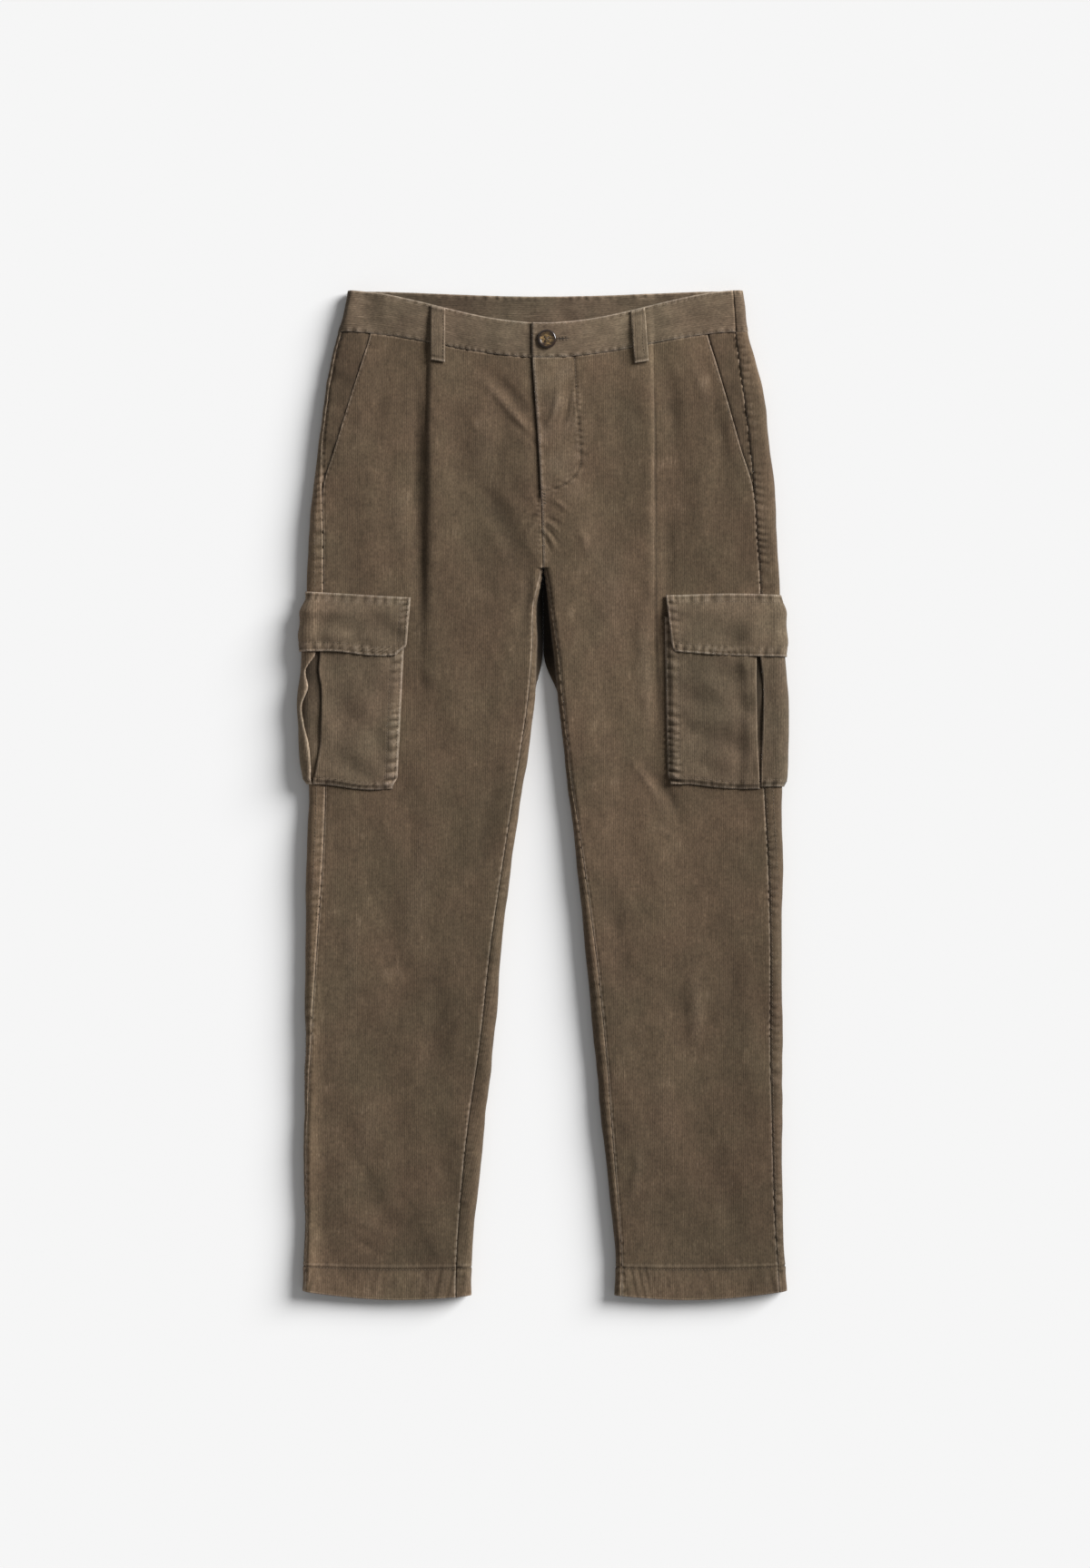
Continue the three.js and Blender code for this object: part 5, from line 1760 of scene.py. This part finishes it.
def bar(start, end, radius, name, material):
    """Short round bar between two points of the button's own space."""
    made = bmesh.new()
    bmesh.ops.create_cone(made, cap_ends=True, segments=10, radius1=radius, radius2=radius, depth=1.0)
    corners = np.array([vertex.co[:] for vertex in made.verts])
    start, end = np.array(start, float), np.array(end, float)
    axis = end - start
    lying = abs(axis[2]) < 0.9 * np.linalg.norm(axis)
    helper = np.array([0.3, 0.2, 1.0] if lying else [1.0, 0.1, 0])
    beside = np.cross(axis, helper)
    beside /= np.linalg.norm(beside)
    upward = np.cross(axis, beside) / np.linalg.norm(axis)
    spots = (start + end) / 2 + corners[:, :1] * beside + corners[:, 1:2] * upward + corners[:, 2:] * axis
    for vertex, spot in zip(made.verts, set_on_band(spots)):
        vertex.co = spot
    bmesh.ops.recalc_face_normals(made, faces=made.faces)
    mesh = bpy.data.meshes.new(name)
    made.to_mesh(mesh)
    made.free()
    mesh.polygons.foreach_set("use_smooth", [True] * len(mesh.polygons))
    mesh.materials.append(material)
    return piece(name, mesh)


# The holes are bars painted near black as painted shade.
painted_hole_shade = new_material("button_hole")
painted_hole_shade[1].inputs["Base Color"].default_value = (0.006, 0.004, 0.003, 1)
dark_spot = painted_hole_shade[2].noise(painted_hole_shade[2].node("ShaderNodeTexCoord", 3), 500.0)
painted_hole_shade[0].node_tree.links.new((0.6 + dark_spot * 0.3).socket, painted_hole_shade[1].inputs["Roughness"])
face = BUTTON_THICK - 1.12
for number, (x, y) in enumerate([(-1, -1), (1, -1), (1, 1), (-1, 1)]):
    x, y = x * BUTTON_HOLE_REACH, y * BUTTON_HOLE_REACH
    bar((x, y, face - 0.6), (x, y, face + 0.05), BUTTON_HOLE * 0.75, f"button_hole_{number}", painted_hole_shade[0])
reach, high = BUTTON_HOLE_REACH * 0.95, face + 0.25
for number, (x, y) in enumerate([(1, 1), (1, -1)]):
    ends = [(-x * reach, -y * reach, high), (x * reach, y * reach, high)]
    bar(*ends, THREAD_RADIUS, f"button_thread_{number}", thread)

slit_walk = walk_at(right, BUTTON_STATION, BUTTON_X + SLIT_START)
slit_walk = slit_walk - np.linspace(0, SLIT_LONG, SLIT_COLUMNS)[None, :]
slit_half = 0.2 + 0.4 * bell(np.linspace(-1, 1, SLIT_COLUMNS))
slit_rows = BUTTON_STATION + np.array([-1, 0, 1])[:, None] * slit_half[None, :]
slit_points, _ = bands["right"].at(slit_rows, slit_walk, 0.12)
slit_above, _ = bands["right"].at(slit_rows, slit_walk, 1.2)
# The buttonhole's slit is painted near black as painted shade.
slit_mesh, _ = grid_mesh("buttonhole", slit_points, slit_above, slit_points)
slit_mesh.materials.append(painted_hole_shade[0])
piece("buttonhole", slit_mesh)
print("button done")

# %% [markdown]
# ## Floor
#
# The photograph was taken straight down on a pale surface, with a broad light from the upper right and much
# light from all round, so shadows are soft and fall to the lower left. One large square of paper will do.

# %% Floor
FLOOR = 6.0
FLOOR_BELOW = 0.0002
made = bmesh.new()
bmesh.ops.create_grid(made, x_segments=1, y_segments=1, size=FLOOR / 2)
floor_mesh = bpy.data.meshes.new("floor")
made.to_mesh(floor_mesh)
made.free()
floor = bpy.data.objects.new("floor", floor_mesh)
bpy.context.scene.collection.objects.link(floor)
floor.location.z = -FLOOR_BELOW
paper, paper_shader, paper_start = new_material("paper")
paper_noise = paper_start.noise(paper_start.node("ShaderNodeTexCoord", 3), 300.0)
paper.node_tree.links.new((0.85 + paper_noise * 0.1).socket, paper_shader.inputs["Roughness"])
paper_shader.inputs["Base Color"].default_value = (0.90, 0.90, 0.90, 1)
paper_shader.inputs["Specular IOR Level"].default_value = 0.1
floor_mesh.materials.append(paper)
print("floor", FLOOR, "m")

# %% [markdown]
# ## Light and camera
#
# A sun with a wide disc stands in for a large soft box, and an even grey world for the white room round it.
# The camera is high up with a long lens, so the legs' sides don't show, and frames the same height of floor
# as the photograph.

# %% Light and camera
SENSOR = 36
PHOTO_TALL = 1.64065
CAMERA_AT = (0.0019, 0.0114)
CAMERA_HIGH = 4.0
SUN_ELEVATION = 27
SUN_FROM = 30
SUN_STRENGTH = 5.35
SUN_SOFT = 33
FILL = 0.25

world = bpy.data.worlds.new("studio")
bpy.context.scene.world = world
world.use_nodes = True
world.node_tree.nodes["Background"].inputs["Color"].default_value = (FILL, FILL, FILL, 1)

sun_data = bpy.data.lights.new("sun", "SUN")
sun_data.energy = SUN_STRENGTH
sun_data.angle = math.radians(SUN_SOFT)
sun = bpy.data.objects.new("sun", sun_data)
bpy.context.scene.collection.objects.link(sun)
sun.rotation_euler = (math.radians(90 - SUN_ELEVATION), 0, math.radians(90 + SUN_FROM))

camera_data = bpy.data.cameras.new("camera")
camera_data.sensor_fit = "VERTICAL"
camera_data.sensor_height = SENSOR
camera_data.lens = SENSOR * CAMERA_HIGH / PHOTO_TALL
camera = bpy.data.objects.new("camera", camera_data)
bpy.context.scene.collection.objects.link(camera)
camera.location = (*CAMERA_AT, CAMERA_HIGH)
bpy.context.scene.camera = camera
bpy.context.scene.view_settings.view_transform = "Standard"
print("camera", CAMERA_HIGH, "m up, lens", round(camera_data.lens, 1), "mm")

# %% [markdown]
# ## Triangles
#
# The triangles of all pieces are counted and printed.

# %% Triangles
print("triangles:", sum(triangles.values()))
